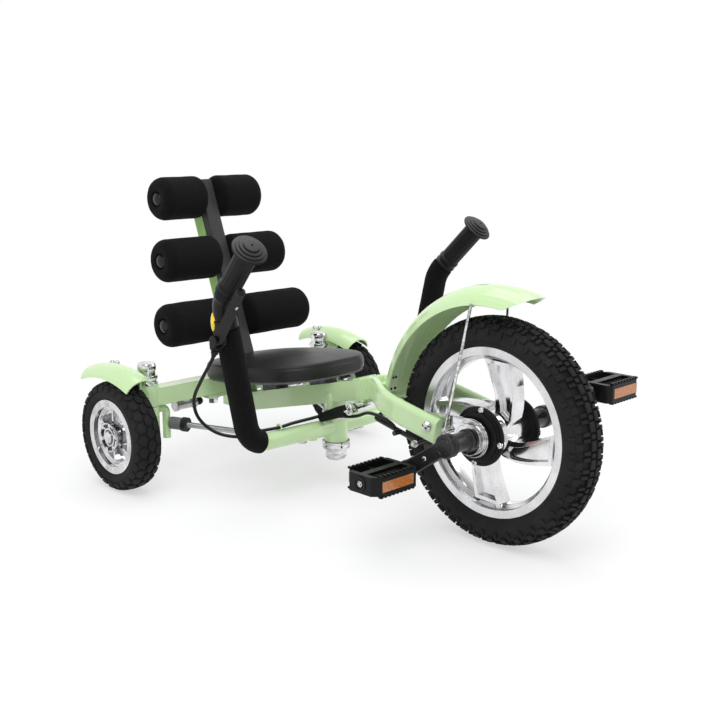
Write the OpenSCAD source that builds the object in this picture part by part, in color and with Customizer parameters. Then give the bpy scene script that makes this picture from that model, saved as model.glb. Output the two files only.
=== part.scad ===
// A child's low rider tricycle: a pedalled front wheel on a telescopic boom, two rear wheels that
// steer through side levers, a moulded seat and a backrest of foam rollers.
// X points to the rider's left, Y to the back and Z up, in millimetres, with the ground at zero.

/* [Layout] */
// Distance between the front and rear axles
wheelbase = 545; // [520:1:580]
// Distance of the front axle ahead of the origin
front_setback = 256.5; // [246:0.5:267]
// Distance between the centres of the rear tyres
track = 478; // [474:1:500]
// Distance of a kingpin inboard of the centre of its rear tyre
kingpin_inset = 56; // [54:1:61]
// Distance of the kingpins behind the rear axle
kingpin_trail = 6; // [2:1:9]

/* [Front wheel] */
// Diameter of the front tyre over its knobs
front_tyre_d = 310; // [302:1:320]
// Width of the front tyre
front_tyre_w = 56; // [50:1:60]
// Height of the front tyre's section from its rim to its knobs
front_tyre_h = 39.5; // [35:0.5:44]
// Width of the front rim
front_rim_w = 38; // [34:1:42]
// Knobs in each row of the front tread
front_knobs = 40; // [30:1:48]
// Number of swept spokes
front_spokes = 4; // [3:1:5]
// Angle that a spoke sweeps from the hub to the rim
spoke_sweep = 35; // [20:1:45]
// Diameter of the black hub flanges
hub_flange_d = 80; // [70:1:90]
// Diameter of the front axle
front_axle_d = 20; // [16:1:22]

/* [Rear wheels] */
// Diameter of the rear tyres over their blocks
rear_tyre_d = 172; // [164:1:176]
// Width of the rear tyres
rear_tyre_w = 44; // [38:1:46]
// Diameter of the rear rims
rear_rim_d = 116; // [106:1:124]
// Width of the rear rims
rear_rim_w = 38; // [32:1:40]
// Blocks in each row of the rear tread
rear_knobs = 30; // [24:1:36]
// Number of ribs in the rear wheels
rear_spokes = 6; // [5:1:8]
// Diameter of the stub axles
stub_axle_d = 12; // [10:1:14]

/* [Pedals] */
// Distance between the axle and a pedal spindle
crank_l = 80; // [74:1:90]
// Angle of the right crank below the horizontal
crank_angle = 34; // [0:1:90]
// Distance of the outer crank face from the mid-plane
crank_x = 110; // [104:1:118]
// Length of a pedal along its spindle
pedal_l = 77; // [70:1:86]
// Width of a pedal
pedal_w = 62; // [54:1:70]
// Thickness of a pedal
pedal_h = 25; // [22:1:29]
// Diameter of the pedal spindles
spindle_d = 10; // [8:1:12]

/* [Frame] */
// Outer side of the square main beam
beam_side = 30; // [28:1:34]
// Wall of the main beam
beam_wall = 2; // [1.5:0.1:3]
// Rise of the main beam towards the front, in degrees
beam_pitch = 13.9; // [12.5:0.1:15]
// Length of the main beam
beam_l = 322; // [318:1:328]
// Y of the front end of the main beam
beam_front_y = -20.5; // [-24:0.5:-18]
// Height of the main beam's axis at its front end
beam_front_z = 173; // [170:1:176]
// Side of the square rear beam
rear_beam_side = 28; // [26:1:30]
// Height of the rear beam's axis
rear_beam_z = 135; // [133:1:138]
// Diameter of the kingpin head tubes
head_tube_d = 34; // [30:1:35]
// Diameter of the kingpins
kingpin_d = 18; // [14:1:20]

/* [Fork] */
// Height of the flat oval fork blades
blade_h = 36; // [32:1:39]
// Thickness of the fork blades
blade_t = 14; // [12:1:16]
// Distance of a blade's centre from the mid-plane
blade_x = 61; // [58:1:65]
// Distance of the blade ends behind the front axle
blade_setback = 52; // [48:1:57]
// Length of the neck inside the beam
neck_in = 130; // [110:1:150]

/* [Fenders] */
// Crown radius of the front fender about the front axle
fender_r = 196; // [192:1:200]
// Half width of the front fender
fender_half_w = 37; // [34:1:38]
// Depth of the front fender's crown
fender_depth = 26; // [20:1:30]
// Angle of the front fender's rear end above the horizontal
fender_start = 6; // [5:1:10]
// Angle that the sides of the front fender cover
fender_span = 92.5; // [80:0.5:105]
// Further angle of the front fender's pointed tip
fender_tip = 10; // [4:1:14]
// Thickness of the fender sheet
fender_t = 2; // [1.5:0.1:3]
// Crown radius of the rear fenders' arch
rear_fender_r = 208; // [204:1:214]
// Depth of the rear fenders' crown
rear_fender_depth = 19; // [16:1:22]
// Width of the rear fenders
rear_fender_w = 54; // [50:1:58]

/* [Backrest] */
// Recline of the backrest post, in degrees
recline = 20.3; // [17:0.1:24]
// Y where the line of the roller rods meets the top of the beam
post_y = 256.5; // [253:0.5:260]
// Width of the backrest post
post_w = 26; // [24:1:30]
// Depth of the backrest post
post_d = 24; // [20:1:28]
// Distance of the lowest roller rod from the foot of the post
rod_low = 130; // [126:1:136]
// Distance of the middle roller rod from the foot of the post
rod_middle = 235; // [230:1:240]
// Distance of the highest roller rod from the foot of the post
rod_top = 338; // [332:1:344]
// Half length of the lowest pair of rollers
roller_low_x = 146; // [136:1:156]
// Half length of the middle pair of rollers
roller_middle_x = 123; // [113:1:133]
// Half length of the highest pair of rollers
roller_top_x = 101; // [91:1:111]
// Diameter of the foam rollers
roller_d = 70; // [64:1:76]
// Diameter of the roller rods
roller_rod_d = 10; // [8:1:11]

/* [Seat] */
// Length of the seat
seat_l = 260; // [246:1:270]
// Width of the seat
seat_w = 214; // [200:1:226]
// Height of the seat's skirt
seat_skirt = 22; // [20:1:26]
// Rise of the seat's crown above its edge
seat_crown = 9; // [5:1:14]
// Y of the middle of the seat
seat_y = 175.5; // [172:0.5:178]
// Height of the seat's lower edge at its middle
seat_z = 167; // [167:0.5:170]
// Tilt of the seat, front up, in degrees
seat_tilt = 6.5; // [4:0.1:9]

/* [Steering] */
// Y of the steering axis
steer_y = 56.5; // [53:0.5:60]
// Diameter of the crossbar and lever tubes
bar_d = 26; // [25:1:28]
// Height of the crossbar's axis
bar_z = 100; // [97:1:103]
// Diameter of the crossbar's hub
bar_hub_d = 36; // [34:1:40]
// Diameter of the steering post
steer_post_d = 20; // [16:1:22]
// Distance of the elbows from the mid-plane
elbow_x = 171; // [164:1:178]
// Bend radius of the lever tubes
bar_bend = 40; // [34:1:46]
// Thickness of the foam sleeves
sleeve_t = 4.5; // [3.5:0.5:6]
// Length of a grip
grip_l = 96; // [90:1:102]
// Diameter of a grip
grip_d = 31; // [30:1:34]
// Diameter of the flange at a grip's end
grip_flange_d = 49; // [44:1:56]
// Distance of the tie rods' front pivots from the mid-plane
tie_front_x = 50; // [46:1:56]
// Distance of the tie rods' front pivots behind the steering axis
tie_front_back = 23; // [22:1:26]
// Distance of the tie rods' rear pivots from the kingpins
tie_arm = 33; // [30:1:36]
// Diameter of the tie rods
tie_rod_d = 9; // [7:1:10]

/* [Brake] */
// Distance of the caliper bolt behind the front axle
caliper_back = 205; // [203:1:208]
// Distance between a brake arm's axis and the mid-plane
caliper_x = 41; // [39:1:44]
// Diameter of the brake arms
caliper_arm_d = 9; // [8:0.5:9.5]
// Gap between a brake pad and the rim
pad_gap = 1.6; // [1.5:0.1:2.5]
// Length of the brake lever
brake_lever_l = 88; // [80:1:94]
// Diameter of the brake cable
cable_d = 5; // [4:0.5:5.5]

/* [Hidden] */
$fn = 48;

green = "#bfe0a4";
black = "#1d1d1f";
chrome = "#d9dbde";
steel = "#a9adb2";
amber = "#d6862c";

// Clearances: radial running fit, gap of a seated pair, gap between bodies that move, overrun of cuts
fit_gap = 0.05;
seat_gap = 0.1;
run_gap = 0.4;
overrun = 1;

// Welded seams of a bent bar: half length and rise
seam = 0.4;
seam_rise = 0.04;

right = -1;
left = 1;
front_axle_y = -front_setback;
rear_axle_y = wheelbase - front_setback;
front_axle_z = front_tyre_d / 2;
rear_axle_z = rear_tyre_d / 2;
kingpin_track = track - 2 * kingpin_inset;
kingpin_x = kingpin_track / 2;
kingpin_y = rear_axle_y + kingpin_trail;
rear_wheel_x = track / 2;

// Tyres, rims and hubs
front_rim_d = front_tyre_d - 2 * front_tyre_h;
front_knob_h = 3.5;
rear_knob_h = 1.8;
knob_bed = 7;
rim_lip = 11;
rim_well = 6;
rim_core_share = 0.62;
front_fullness = 0.85;
rear_fullness = 0.65;
front_hub_d = 56;
front_hub_half = 36;
spoke_w_hub = 27;
spoke_w_rim = 41;
spoke_phase = 38;
spoke_half = 13;
spoke_wall = 5;
spoke_groove = 7;
flange_t = 5;
flange_step_t = 5;
flange_step_d = 66;
rear_hub_d = 40;
rear_rib_t = 4;
rear_rib_half = 13;
rear_web_t = 5;
rear_web_x = -3;
hub_cap_d = 46;
hub_cap_t = 4;
hub_cap_slots = 8;
hub_cap_ring = 6;
hub_nut_d = 18;

// Fork: places along a blade as shares of its spread, run and drop from the yoke
yoke_x = 8;
yoke_run = 7;
yoke_l = 22;
blade_drop = 20;
blade_spread_shares = [0, 0.12, 0.39, 0.75, 0.93, 1, 1];
blade_run_shares = [0, 0.08, 0.19, 0.34, 0.49, 0.63, 1];
blade_rise_shares = [0, 0.1, 0.13, 0.08, -0.1, -0.32, -1];
blade_split = 2;
neck_gap = 0.3;
neck_start_y = beam_front_y - yoke_run;
blade_end_y = front_axle_y + blade_setback;
neck_z = beam_front_z + yoke_run * tan(beam_pitch);

// Axle brackets, bearing cups and bolts
bracket_t = 4;
bracket_ring_d = 60;
bracket_tail_d = 28;
bracket_reach = 78;
bracket_rise = 7;
cup_d = 50;
cup_in = 2;
cup_step_d = 42;
cup_l = 15;
cup_step_l = 7;
dome_nut_d = 14;
dome_nut_h = 7;
caliper_bolt_d = 8;

// Fenders
fender_edge_share = 0.96;
fender_lug_w = 16;
fender_lug_h = 10;
fender_lug_lift = 10;
stay_d = 4;
stay_top_angle = 84;
stay_foot_y = 41;
stay_foot_z = 3;
stay_out = 4;
rear_fender_front = 47;
rear_fender_back = 82;
rear_fender_peak = 20;
rear_fender_gap = 2;
strap_edge_share = 0.8;
strap_t = 3;
strap_half_angle = 5;
fender_plate_t = 4;
fender_plate_w = 30;

// Rear beam, mount and kingpin stacks
mount_t = 6;
mount_w = 0.41 * kingpin_track;
mount_front = 0;
cheek_t = 5;
cheek_h = 24;
cheek_l = 34;
mount_nut_x = 0.153 * kingpin_track;
mount_nut_d = 17;
mount_nut_h = 11;
head_tube_rise = 7;
stack_ring_h = 5;
stack_ring_d = 34;
stack_waist_d = 30;
stack_nut_h = 9;
stack_nut_d = 27;
stack_cap_h = 10;
stop_d = 16;
stop_l = 0.1093 * kingpin_track;
stop_start = 10;
stop_collar_d = 19;
stop_collar_l = 5;
stop_hanger_t = 6;

// Knuckles
boss_d = 34;
boss_drop = 26;
arm_d = 13;
arm_drop = 58;
arm_bend = 10;
stud_d = 6;
stud_l = 16;
boot_d = 20;
boot_l = 21;
boot_wall = 1.6;
boot_start = 9;
boot_ring_d = 23;
boot_ring_l = 9;
tie_z = 88;
tie_front_z = 82;
tie_eye_d = 15;
tie_eye_h = 8;
tie_pin_d = 6;
lug_t = 5;
lug_gap = 1.2;

// Backrest and seat
rod_stations = [rod_low, rod_middle, rod_top];
roller_ends = [roller_low_x, roller_middle_x, roller_top_x];
post_foot = 34;
post_over = 25;
cover_t = 16;
cover_front = 10;
cover_cap = 3;
roller_start = 16;
roller_round = 15;
roller_dimple = 8;
dimple_d = 38;
cap_d = 19;
cap_h = 6;
seat_wall = 6;
seat_power = 2.5;
seat_notch_w = 38;
seat_notch_gap = 4;
seat_plate_t = 3;
seat_plate_share = 0.985;
seat_leg_w = 26;
seat_leg_l = 34;
seat_leg_places = [85, 200];

// Steering column and levers
boss_r = 17;
boss_foot_z = 125;
hub_top_z = 115;
hub_foot_z = 77;
upper_cup_d = 42;
lower_cup_d = 43;
lower_cup_h = 11;
lock_nut_d = 33;
lock_nut_h = 18;
bar_rise = 4;
grip_corner = [221, -9, 318];
grip_tip = [231.5, -90, 402.7];
sleeve_start_x = 150;
grip_ring_d = 34;
grip_ring_l = 4;
grip_flange_t = 11;
grip_groove = 2;
grip_end_wall = 8;
guide_x = 115;
guide_d = 10;
guide_wire = 2.5;

// Brake lever and its bracket, as distances along and beside the lever tube
bracket_ring_wall = 4;
bracket_ring_l = 14;
bracket_below = 40;
lever_x = 236;
lever_pivot_y = 39;
lever_pivot_z = 268;
lever_lean = 36;
lever_w = 10;
lever_tip_d = 12;
lever_root_d = 20;
lever_root_w = 18;
lever_pin_d = 6;
ear_t = 4;
caliper_z = 140;
caliper_arm_h = 8;
caliper_hub_d = 18;
pad_size = [9, 9, 34];
pad_inset = 8.5;
pad_reach = front_rim_d / 2 - pad_inset;
pad_angle = 16;
anchor_d = 7;
anchor_reach = 48;
anchor_l = 13;

// Quick-release clamp, in the frame of the main beam
collar_t = 3;
collar_l = 14;
collar_start = 4;
clamp_d = 14;
clamp_reach = 31;
clamp_drop = 24;
clamp_lever_d = 8;
clamp_lever_l = 16;
clamp_droop = 8;
handle_l = 56;
handle_h = 17;
handle_t = 11;

// Pedals
pedal_gap = 6;
pedal_window = 19;
pedal_wall = 7;
pedal_corner = 12;
pedal_barrel_d = 19;
reflector_w = 56;
reflector_h = 14;
reflector_t = 3;
crank_boss_d = 34;
crank_arm_t = 12;
crank_end_d = 26;

// Routes of the brake cable: from the lever to the crossbar, along the main beam, and on to the caliper
cable_rear_route = [
    [-236, 49, 246], [-235, 60, 232], [-231, 88, 202], [-223, 116, 170], [-209, 125, 138],
    [-190, 109, 116], [-164, 87, 109], [-138, 73, 115], [-115, 56.5, 119.5], [-90, 56, 121],
    [-65, 56.5, 121], [-50.4, 56.5, 121]];
cable_middle_route = [
    [-50, 56.5, 121], [-38, 57, 121], [-28, 52, 122], [-25, 38, 123], [-24, 14, 127]];
cable_front_route = [
    [-24.1, 13.5, 127.1], [-25, -6, 131], [-28, -22, 136], [-37, -46, 146], [-46, -68, 151], [-50, -90, 151],
    [-51, -104, 148], [-50, -113, 143], [-50, -116, 138]];

// Unit vector
function unit(v) = v / norm(v);

// Point on a circle of radius r at angle a
function polar(r, a) = [r * cos(a), r * sin(a)];

// Smooth curve through the points p, with a number of steps in each span
function spline_point(p, i, t) =
    let (n = len(p) - 1, a = p[max(i - 1, 0)], b = p[i], c = p[min(i + 1, n)], d = p[min(i + 2, n)])
    (2 * b + (c - a) * t + (2 * a - 5 * b + 4 * c - d) * t * t + (3 * b - 3 * c + d - a) * t * t * t) / 2;
function smooth(p, steps) = [
    for (i = [0:len(p) - 2]) for (k = [0:steps - 1]) spline_point(p, i, k / steps),
    p[len(p) - 1]];

// Directions along a path, and side vectors carried along them without twist
function tangents(p) = [for (i = [0:len(p) - 1]) unit(p[min(i + 1, len(p) - 1)] - p[max(i - 1, 0)])];
function carried(t, v) = [
    for (i = 0, s = unit(v - (v * t[0]) * t[0]); i < len(t);
         i = i + 1, s = i < len(t) ? unit(s - (s * t[i]) * t[i]) : s) s];

// Side vectors that stay upright along the directions
function upright(t, v) = [for (d = t) unit(v - (v * d) * d)];

// Copies of a section along a path, with its first axis along the side vectors
function swept(p, section, s) = let (t = tangents(p))
    [for (i = [0:len(p) - 1]) [for (q = section) p[i] + q.x * s[i] + q.y * cross(t[i], s[i])]];

// Flat oval section, tall along its first axis
function flat_oval(h, w, n) = [
    for (i = [0:n]) polar(w / 2, -90 + 180 * i / n) + [(h - w) / 2, 0],
    for (i = [0:n]) polar(w / 2, 90 + 180 * i / n) - [(h - w) / 2, 0]];

// Height of the main beam's axis at a place along Y, and its half height measured upright
function beam_z(y) = beam_front_z - (y - beam_front_y) * tan(beam_pitch);
beam_half = beam_side / 2 / cos(beam_pitch);

// Closed solid through rings of points
module loft(rings) {
    n = len(rings[0]);
    m = len(rings);
    polyhedron(
        points = [for (r = rings) each r],
        faces = [
            [for (i = [0:n - 1]) i],
            [for (i = [n - 1:-1:0]) (m - 1) * n + i],
            for (j = [0:m - 2]) for (i = [0:n - 1]) let (k = (i + 1) % n)
                each [
                    [j * n + i, (j + 1) * n + i, (j + 1) * n + k],
                    [j * n + i, (j + 1) * n + k, j * n + k]]]);
}

// Children on one side, or on both sides, of the mid-plane
module on_side(s) {
    if (s < 0) mirror([1, 0, 0]) children();
    else children();
}
module both_sides() {
    on_side(right) children();
    on_side(left) children();
}

// Round bar or tube between two points
module bar(a, b, r, bore = 0) {
    d = b - a;
    translate(a) rotate([0, acos(d.z / norm(d)), atan2(d.y, d.x)]) difference() {
        cylinder(h = norm(d), r = r);
        if (bore > 0) translate([0, 0, -overrun]) cylinder(h = norm(d) + 2 * overrun, r = bore);
    }
}

// Round bar or tube along a path, with a bend at each corner
module bent_bar(p, r, bend, bore = 0) {
    n = len(p) - 1;
    dir = [for (i = [0:n - 1]) unit(p[i + 1] - p[i])];
    turn = [for (i = [0:n]) i == 0 || i == n ? 0 : acos(dir[i - 1] * dir[i])];
    cut = [for (a = turn) bend * tan(a / 2)];
    for (i = [0:n - 1]) {
        a = p[i] + dir[i] * cut[i];
        b = p[i + 1] - dir[i] * cut[i + 1];
        bar(a, b, r, bore);
        if (i > 0) bar(a - dir[i] * seam, a + dir[i] * seam, r + seam_rise, max(bore - seam_rise, 0));
        if (i < n - 1) bar(b - dir[i] * seam, b + dir[i] * seam, r + seam_rise, max(bore - seam_rise, 0));
    }
    for (i = [1:1:n - 1]) {
        inward = unit(dir[i] - (dir[i] * dir[i - 1]) * dir[i - 1]);
        c = p[i] - dir[i - 1] * cut[i] + inward * bend;
        x = -inward;
        y = dir[i - 1];
        z = cross(x, y);
        multmatrix([[x.x, y.x, z.x, c.x], [x.y, y.y, z.y, c.y], [x.z, y.z, z.z, c.z], [0, 0, 0, 1]])
            rotate_extrude(angle = turn[i]) translate([bend, 0]) difference() {
                circle(r);
                if (bore > 0) circle(bore);
            }
    }
}

// Round bar along X from one place to another
module bar_x(x0, x1, r) {
    translate([x0, 0, 0]) rotate([0, 90, 0]) cylinder(h = x1 - x0, r = r);
}

// Flat link between two round ends, along +Y from the first
module link(r1, r2, l) {
    a = asin((r1 - r2) / l);
    circle(r1);
    translate([0, l]) circle(r2);
    polygon([
        polar(r1, a), polar(r2, a) + [0, l], [-r2 * cos(a), l + r2 * sin(a)], [-r1 * cos(a), r1 * sin(a)]]);
}

// A link in the plane across X, from the place x, thick along +X
module link_x(x, t, r1, r2, l, angle) {
    translate([x, 0, 0]) rotate([angle, 0, 0]) rotate([90, 0, 90]) rotate([0, 0, -90])
        linear_extrude(t) link(r1, r2, l);
}

// Children in the frame of the main beam, with Y running back along its axis from the front end
module in_beam() {
    translate([0, beam_front_y, beam_front_z]) rotate([-beam_pitch, 0, 0]) children();
}

// Children in the frame of the backrest, with Z running up the line of the roller rods from the beam
module in_post() {
    translate([0, post_y, beam_z(post_y) + beam_half]) rotate([-recline, 0, 0]) children();
}

// Children in the frame of the seat, at the middle of its lower edge
module in_seat() {
    translate([0, seat_y, seat_z]) rotate([-seat_tilt, 0, 0]) children();
}

// Children with Z along a wheel's axle
module at_front_axle() {
    translate([0, front_axle_y, front_axle_z]) children();
}
module at_rear_axle() {
    translate([rear_wheel_x, rear_axle_y, rear_axle_z]) children();
}

// Tyre: a rounded carcass with rows of knobs, the axle along Z
module tread_row(z, w, inner, root, tip, count, phase, duty_share) {
    step = 360 / count;
    land = step * duty_share / 2;
    ramp = step * (1 - duty_share) / 5;
    translate([0, 0, z]) linear_extrude(w) difference() {
        polygon([for (i = [0:count - 1]) let (a = step * (i + phase)) each [
            polar(root, a - land - ramp), polar(tip, a - land), polar(tip, a), polar(tip, a + land),
            polar(root, a + land + ramp)]]);
        circle(inner);
    }
}
module tyre(d, w, rim_d, knob_h, count, rows, fullness) {
    crown = d / 2 - knob_h;
    bead = rim_d / 2 + seat_gap;
    middle = bead + (crown - bead) * 0.45;
    foot = asin(pow((middle - bead) / (crown - middle), 1 / fullness));
    carcass_steps = 16;
    rotate_extrude() polygon([
        for (i = [0:carcass_steps]) let (a = -foot + (180 + 2 * foot) * i / carcass_steps)
            [middle + (crown - middle) * sign(sin(a)) * pow(abs(sin(a)), fullness),
             (w / 2 - overrun) * sign(cos(a)) * pow(abs(cos(a)), fullness)]]);
    for (row = rows) for (s = [-1, 1]) {
        root = crown - knob_h - row[2] * w;
        translate([0, 0, s > 0 ? 0 : -(row[0] + row[1]) * w])
            tread_row(s > 0 ? row[0] * w : 0, row[1] * w, max(root - knob_bed, bead), root,
                      d / 2 - row[2] * w, count, s > 0 ? row[3] : row[3] + row[4], row[5]);
    }
}
// Rows of knobs: start, width and drop as shares of the tyre width, two phases, length as a share of the step
front_row_shares = [[0.02, 0.17, 0, 0, 0.5, 0.62], [0.22, 0.25, 0.13, 0.5, 0.5, 0.55]];
rear_row_shares = [[0.02, 0.18, 0, 0, 0.5, 0.66], [0.22, 0.12, 0.025, 0.5, 0.5, 0.66],
    [0.36, 0.12, 0.07, 0, 0.5, 0.66]];

// Cast rim with a lip on each side and a raised middle, the axle along Z
module rim(d, w) {
    core = w * rim_core_share / 2;
    rotate_extrude() polygon([
        [d / 2 - rim_lip, -w / 2], [d / 2, -w / 2], [d / 2, w / 2], [d / 2 - rim_lip, w / 2],
        [d / 2 - rim_lip, core], [d / 2 - rim_lip - rim_well, core - rim_well / 2],
        [d / 2 - rim_lip - rim_well, -core + rim_well / 2], [d / 2 - rim_lip, -core]]);
}

// Swept spoke outline from one radius to another
module spoke(r0, r1, w0, w1, sweep) {
    steps = 8;
    function at(t, side) = let (r = r0 + (r1 - r0) * t, w = w0 + (w1 - w0) * t)
        polar(r, sweep * t * (1.6 - 0.6 * t) + side * w / r * 90 / PI);
    polygon([
        for (i = [0:steps]) at(i / steps, -1),
        for (i = [steps:-1:0]) at(i / steps, 1)]);
}

module front_tyre() {
    color(black) at_front_axle() rotate([0, 90, 0])
        tyre(front_tyre_d, front_tyre_w, front_rim_d, front_knob_h, front_knobs, front_row_shares,
             front_fullness);
}

module front_wheel() {
    rim_in = front_rim_d / 2 - rim_lip - rim_well;
    color(chrome) at_front_axle() rotate([0, 90, 0]) difference() {
        union() {
            rim(front_rim_d, front_rim_w);
            translate([0, 0, -front_hub_half]) cylinder(h = 2 * front_hub_half, d = front_hub_d);
            for (i = [0:front_spokes - 1]) rotate([0, 0, spoke_phase + 360 * i / front_spokes])
                translate([0, 0, -spoke_half]) linear_extrude(2 * spoke_half)
                    spoke(front_hub_d / 2 - overrun, rim_in + overrun, spoke_w_hub, spoke_w_rim,
                          -spoke_sweep);
        }
        for (i = [0:front_spokes - 1]) rotate([0, 0, spoke_phase + 360 * i / front_spokes])
            for (z = [-spoke_half - overrun, spoke_half - spoke_groove])
                translate([0, 0, z]) linear_extrude(spoke_groove + overrun)
                    spoke(front_hub_d / 2 + spoke_wall, rim_in - spoke_wall, spoke_w_hub - 2 * spoke_wall,
                          spoke_w_rim - 2 * spoke_wall, -spoke_sweep);
        translate([0, 0, -front_hub_half - overrun])
            cylinder(h = 2 * front_hub_half + 2 * overrun, d = front_axle_d + 2 * fit_gap);
    }
}

flange_x = front_hub_half + flange_t + flange_step_t;
module hub_flanges() {
    color(black) at_front_axle() both_sides() difference() {
        union() {
            bar_x(front_hub_half, front_hub_half + flange_t, hub_flange_d / 2);
            bar_x(front_hub_half, flange_x, flange_step_d / 2);
        }
        bar_x(front_hub_half - overrun, flange_x + overrun, front_axle_d / 2 + fit_gap);
    }
}

axle_end_x = crank_x - crank_arm_t / 2;
module front_axle() {
    color(steel) at_front_axle() bar_x(-axle_end_x, axle_end_x, front_axle_d / 2);
}

cup_x = flange_x + cup_in;
crank_in_x = cup_x + cup_l + run_gap;
module crank(s) {
    turn = s < 0 ? -crank_angle : 180 - crank_angle;
    color(black) at_front_axle() on_side(s) difference() {
        union() {
            rotate([turn, 0, 0]) bar_x(crank_in_x, crank_x, crank_boss_d / 2);
            link_x(crank_x - crank_arm_t, crank_arm_t - overrun, crank_boss_d / 2 - crank_arm_t / 4,
                   crank_end_d / 2, crank_l, turn);
            rotate([turn, 0, 0]) translate([0, crank_l, 0])
                bar_x(crank_x - crank_arm_t / 2, crank_x + pedal_gap + pedal_l - pedal_wall / 2,
                      spindle_d / 2);
        }
        bar_x(crank_in_x - overrun, axle_end_x, front_axle_d / 2 + fit_gap);
    }
}
module crank_right() { crank(right); }
module crank_left() { crank(left); }

// Children at a pedal spindle, with X running outwards from the inner end of the pedal
module at_pedal(s) {
    turn = s < 0 ? -crank_angle : 180 - crank_angle;
    at_front_axle() on_side(s)
        translate([crank_x + pedal_gap, crank_l * cos(turn), crank_l * sin(turn)]) children();
}
module pedal(s) {
    half = pedal_w / 2;
    color(black) at_pedal(s) difference() {
        union() {
            translate([0, 0, -pedal_h / 2]) linear_extrude(pedal_h) difference() {
                polygon([
                    [0, -half + pedal_corner / 2], [pedal_corner / 2, -half], [pedal_l - pedal_corner, -half],
                    [pedal_l, -half + pedal_corner], [pedal_l, half - pedal_corner],
                    [pedal_l - pedal_corner, half], [pedal_corner / 2, half], [0, half - pedal_corner / 2]]);
                for (y = [-half + pedal_wall, half - pedal_wall - pedal_window])
                    translate([pedal_wall, y]) square([pedal_l - 2 * pedal_wall, pedal_window]);
            }
            bar_x(0, pedal_l, pedal_barrel_d / 2);
        }
        bar_x(-overrun, pedal_l - pedal_wall / 2 + run_gap, spindle_d / 2 + fit_gap);
        for (y = [-half - overrun, half - reflector_t])
            translate([(pedal_l - reflector_w) / 2, y, -reflector_h / 2])
                cube([reflector_w, reflector_t + overrun, reflector_h]);
    }
}
module pedal_right() { pedal(right); }
module pedal_left() { pedal(left); }

module reflectors(s) {
    color(amber) at_pedal(s) for (y = [-pedal_w / 2, pedal_w / 2 - reflector_t])
        translate([(pedal_l - reflector_w) / 2 + seat_gap, y, -reflector_h / 2 + seat_gap])
            cube([reflector_w - 2 * seat_gap, reflector_t, reflector_h - 2 * seat_gap]);
}
module reflectors_right() { reflectors(right); }
module reflectors_left() { reflectors(left); }

// Fork: centre line of the left blade, from the yoke to the axle
blade_path = [for (i = [0:len(blade_run_shares) - 1]) [
    yoke_x + (blade_x - yoke_x) * blade_spread_shares[i],
    neck_start_y + (blade_end_y - neck_start_y) * blade_run_shares[i],
    neck_z + blade_drop * blade_rise_shares[i]]];
blade_steps = 3;
blade_line = smooth(blade_path, blade_steps);
blade_rings = swept(blade_line, flat_oval(blade_h, blade_t, 6), upright(tangents(blade_line), [0, 0, 1]));
blade_cut = blade_split * blade_steps;

module fork_blade(s) {
    color(green) on_side(s) loft([for (i = [blade_cut:len(blade_rings) - 1]) blade_rings[i]]);
}
module fork_blade_right() { fork_blade(right); }
module fork_blade_left() { fork_blade(left); }

lug_foot_z = front_axle_z + fender_r * sin(fender_start) + fender_lug_lift - fender_lug_h;
module fork_yoke() {
    neck = beam_side - 2 * beam_wall - 2 * neck_gap;
    color(green) {
        in_beam() {
            translate([-neck / 2, -yoke_l / 2, -neck / 2]) cube([neck, neck_in + yoke_l / 2, neck]);
            translate([-beam_side / 2, -yoke_l, -beam_side / 2])
                cube([beam_side, yoke_l - run_gap, beam_side]);
        }
        both_sides() loft([for (i = [0:blade_cut]) blade_rings[i]]);
        difference() {
            translate([-fender_lug_w / 2, front_axle_y + fender_r - fender_lug_w, lug_foot_z])
                cube([fender_lug_w, neck_start_y - front_axle_y - fender_r + fender_lug_w, fender_lug_h]);
            at_front_axle() bar_x(-fender_lug_w, fender_lug_w, fender_r + seat_gap);
        }
    }
}

blade_in_x = blade_x - blade_t / 2;
module axle_brackets() {
    angle = atan2(bracket_rise, bracket_reach);
    color(steel) at_front_axle() both_sides() difference() {
        link_x(blade_in_x - bracket_t - seat_gap, bracket_t, bracket_ring_d / 2, bracket_tail_d / 2,
               bracket_reach, angle);
        bar_x(blade_in_x - bracket_t - overrun, blade_in_x + overrun, cup_d / 2 + seat_gap);
    }
}

module bearing_cups() {
    color(chrome) at_front_axle() both_sides() difference() {
        union() {
            bar_x(cup_x, cup_x + cup_l - cup_step_l, cup_d / 2);
            bar_x(cup_x, cup_x + cup_l, cup_step_d / 2);
        }
        bar_x(cup_x - overrun, cup_x + cup_l + overrun, front_axle_d / 2 + fit_gap);
    }
}

caliper_y = front_axle_y + caliper_back;
module fork_bolts() {
    nut_y = (blade_setback + bracket_reach) / 2;
    color(chrome) {
        at_front_axle() both_sides() translate([blade_x + blade_t / 2 + 2 * seat_gap, nut_y, bracket_rise])
            rotate([0, 90, 0]) rotate_extrude() polygon([
                [0, 0], [dome_nut_d / 2, 0], [dome_nut_d / 2, dome_nut_h / 3],
                [dome_nut_d / 3, dome_nut_h * 0.8], [0, dome_nut_h]]);
        translate([0, caliper_y, caliper_z - dome_nut_h])
            cylinder(h = lug_foot_z - caliper_z + dome_nut_h, d = caliper_bolt_d);
    }
}

// Crowned sheet section: width along its second axis, with the crown at radius r
module crowned_sheet(r, half_w, depth, t, edge_share) {
    round = (half_w * half_w + depth * depth) / (2 * depth);
    swing = asin(half_w / round) * edge_share;
    steps = 12;
    function at(radius, i) = let (a = swing * (2 * i / steps - 1))
        [r - round + radius * cos(a), radius * sin(a)];
    polygon([for (i = [0:steps]) at(round, i), for (i = [steps:-1:0]) at(round - t, i)]);
}

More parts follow.
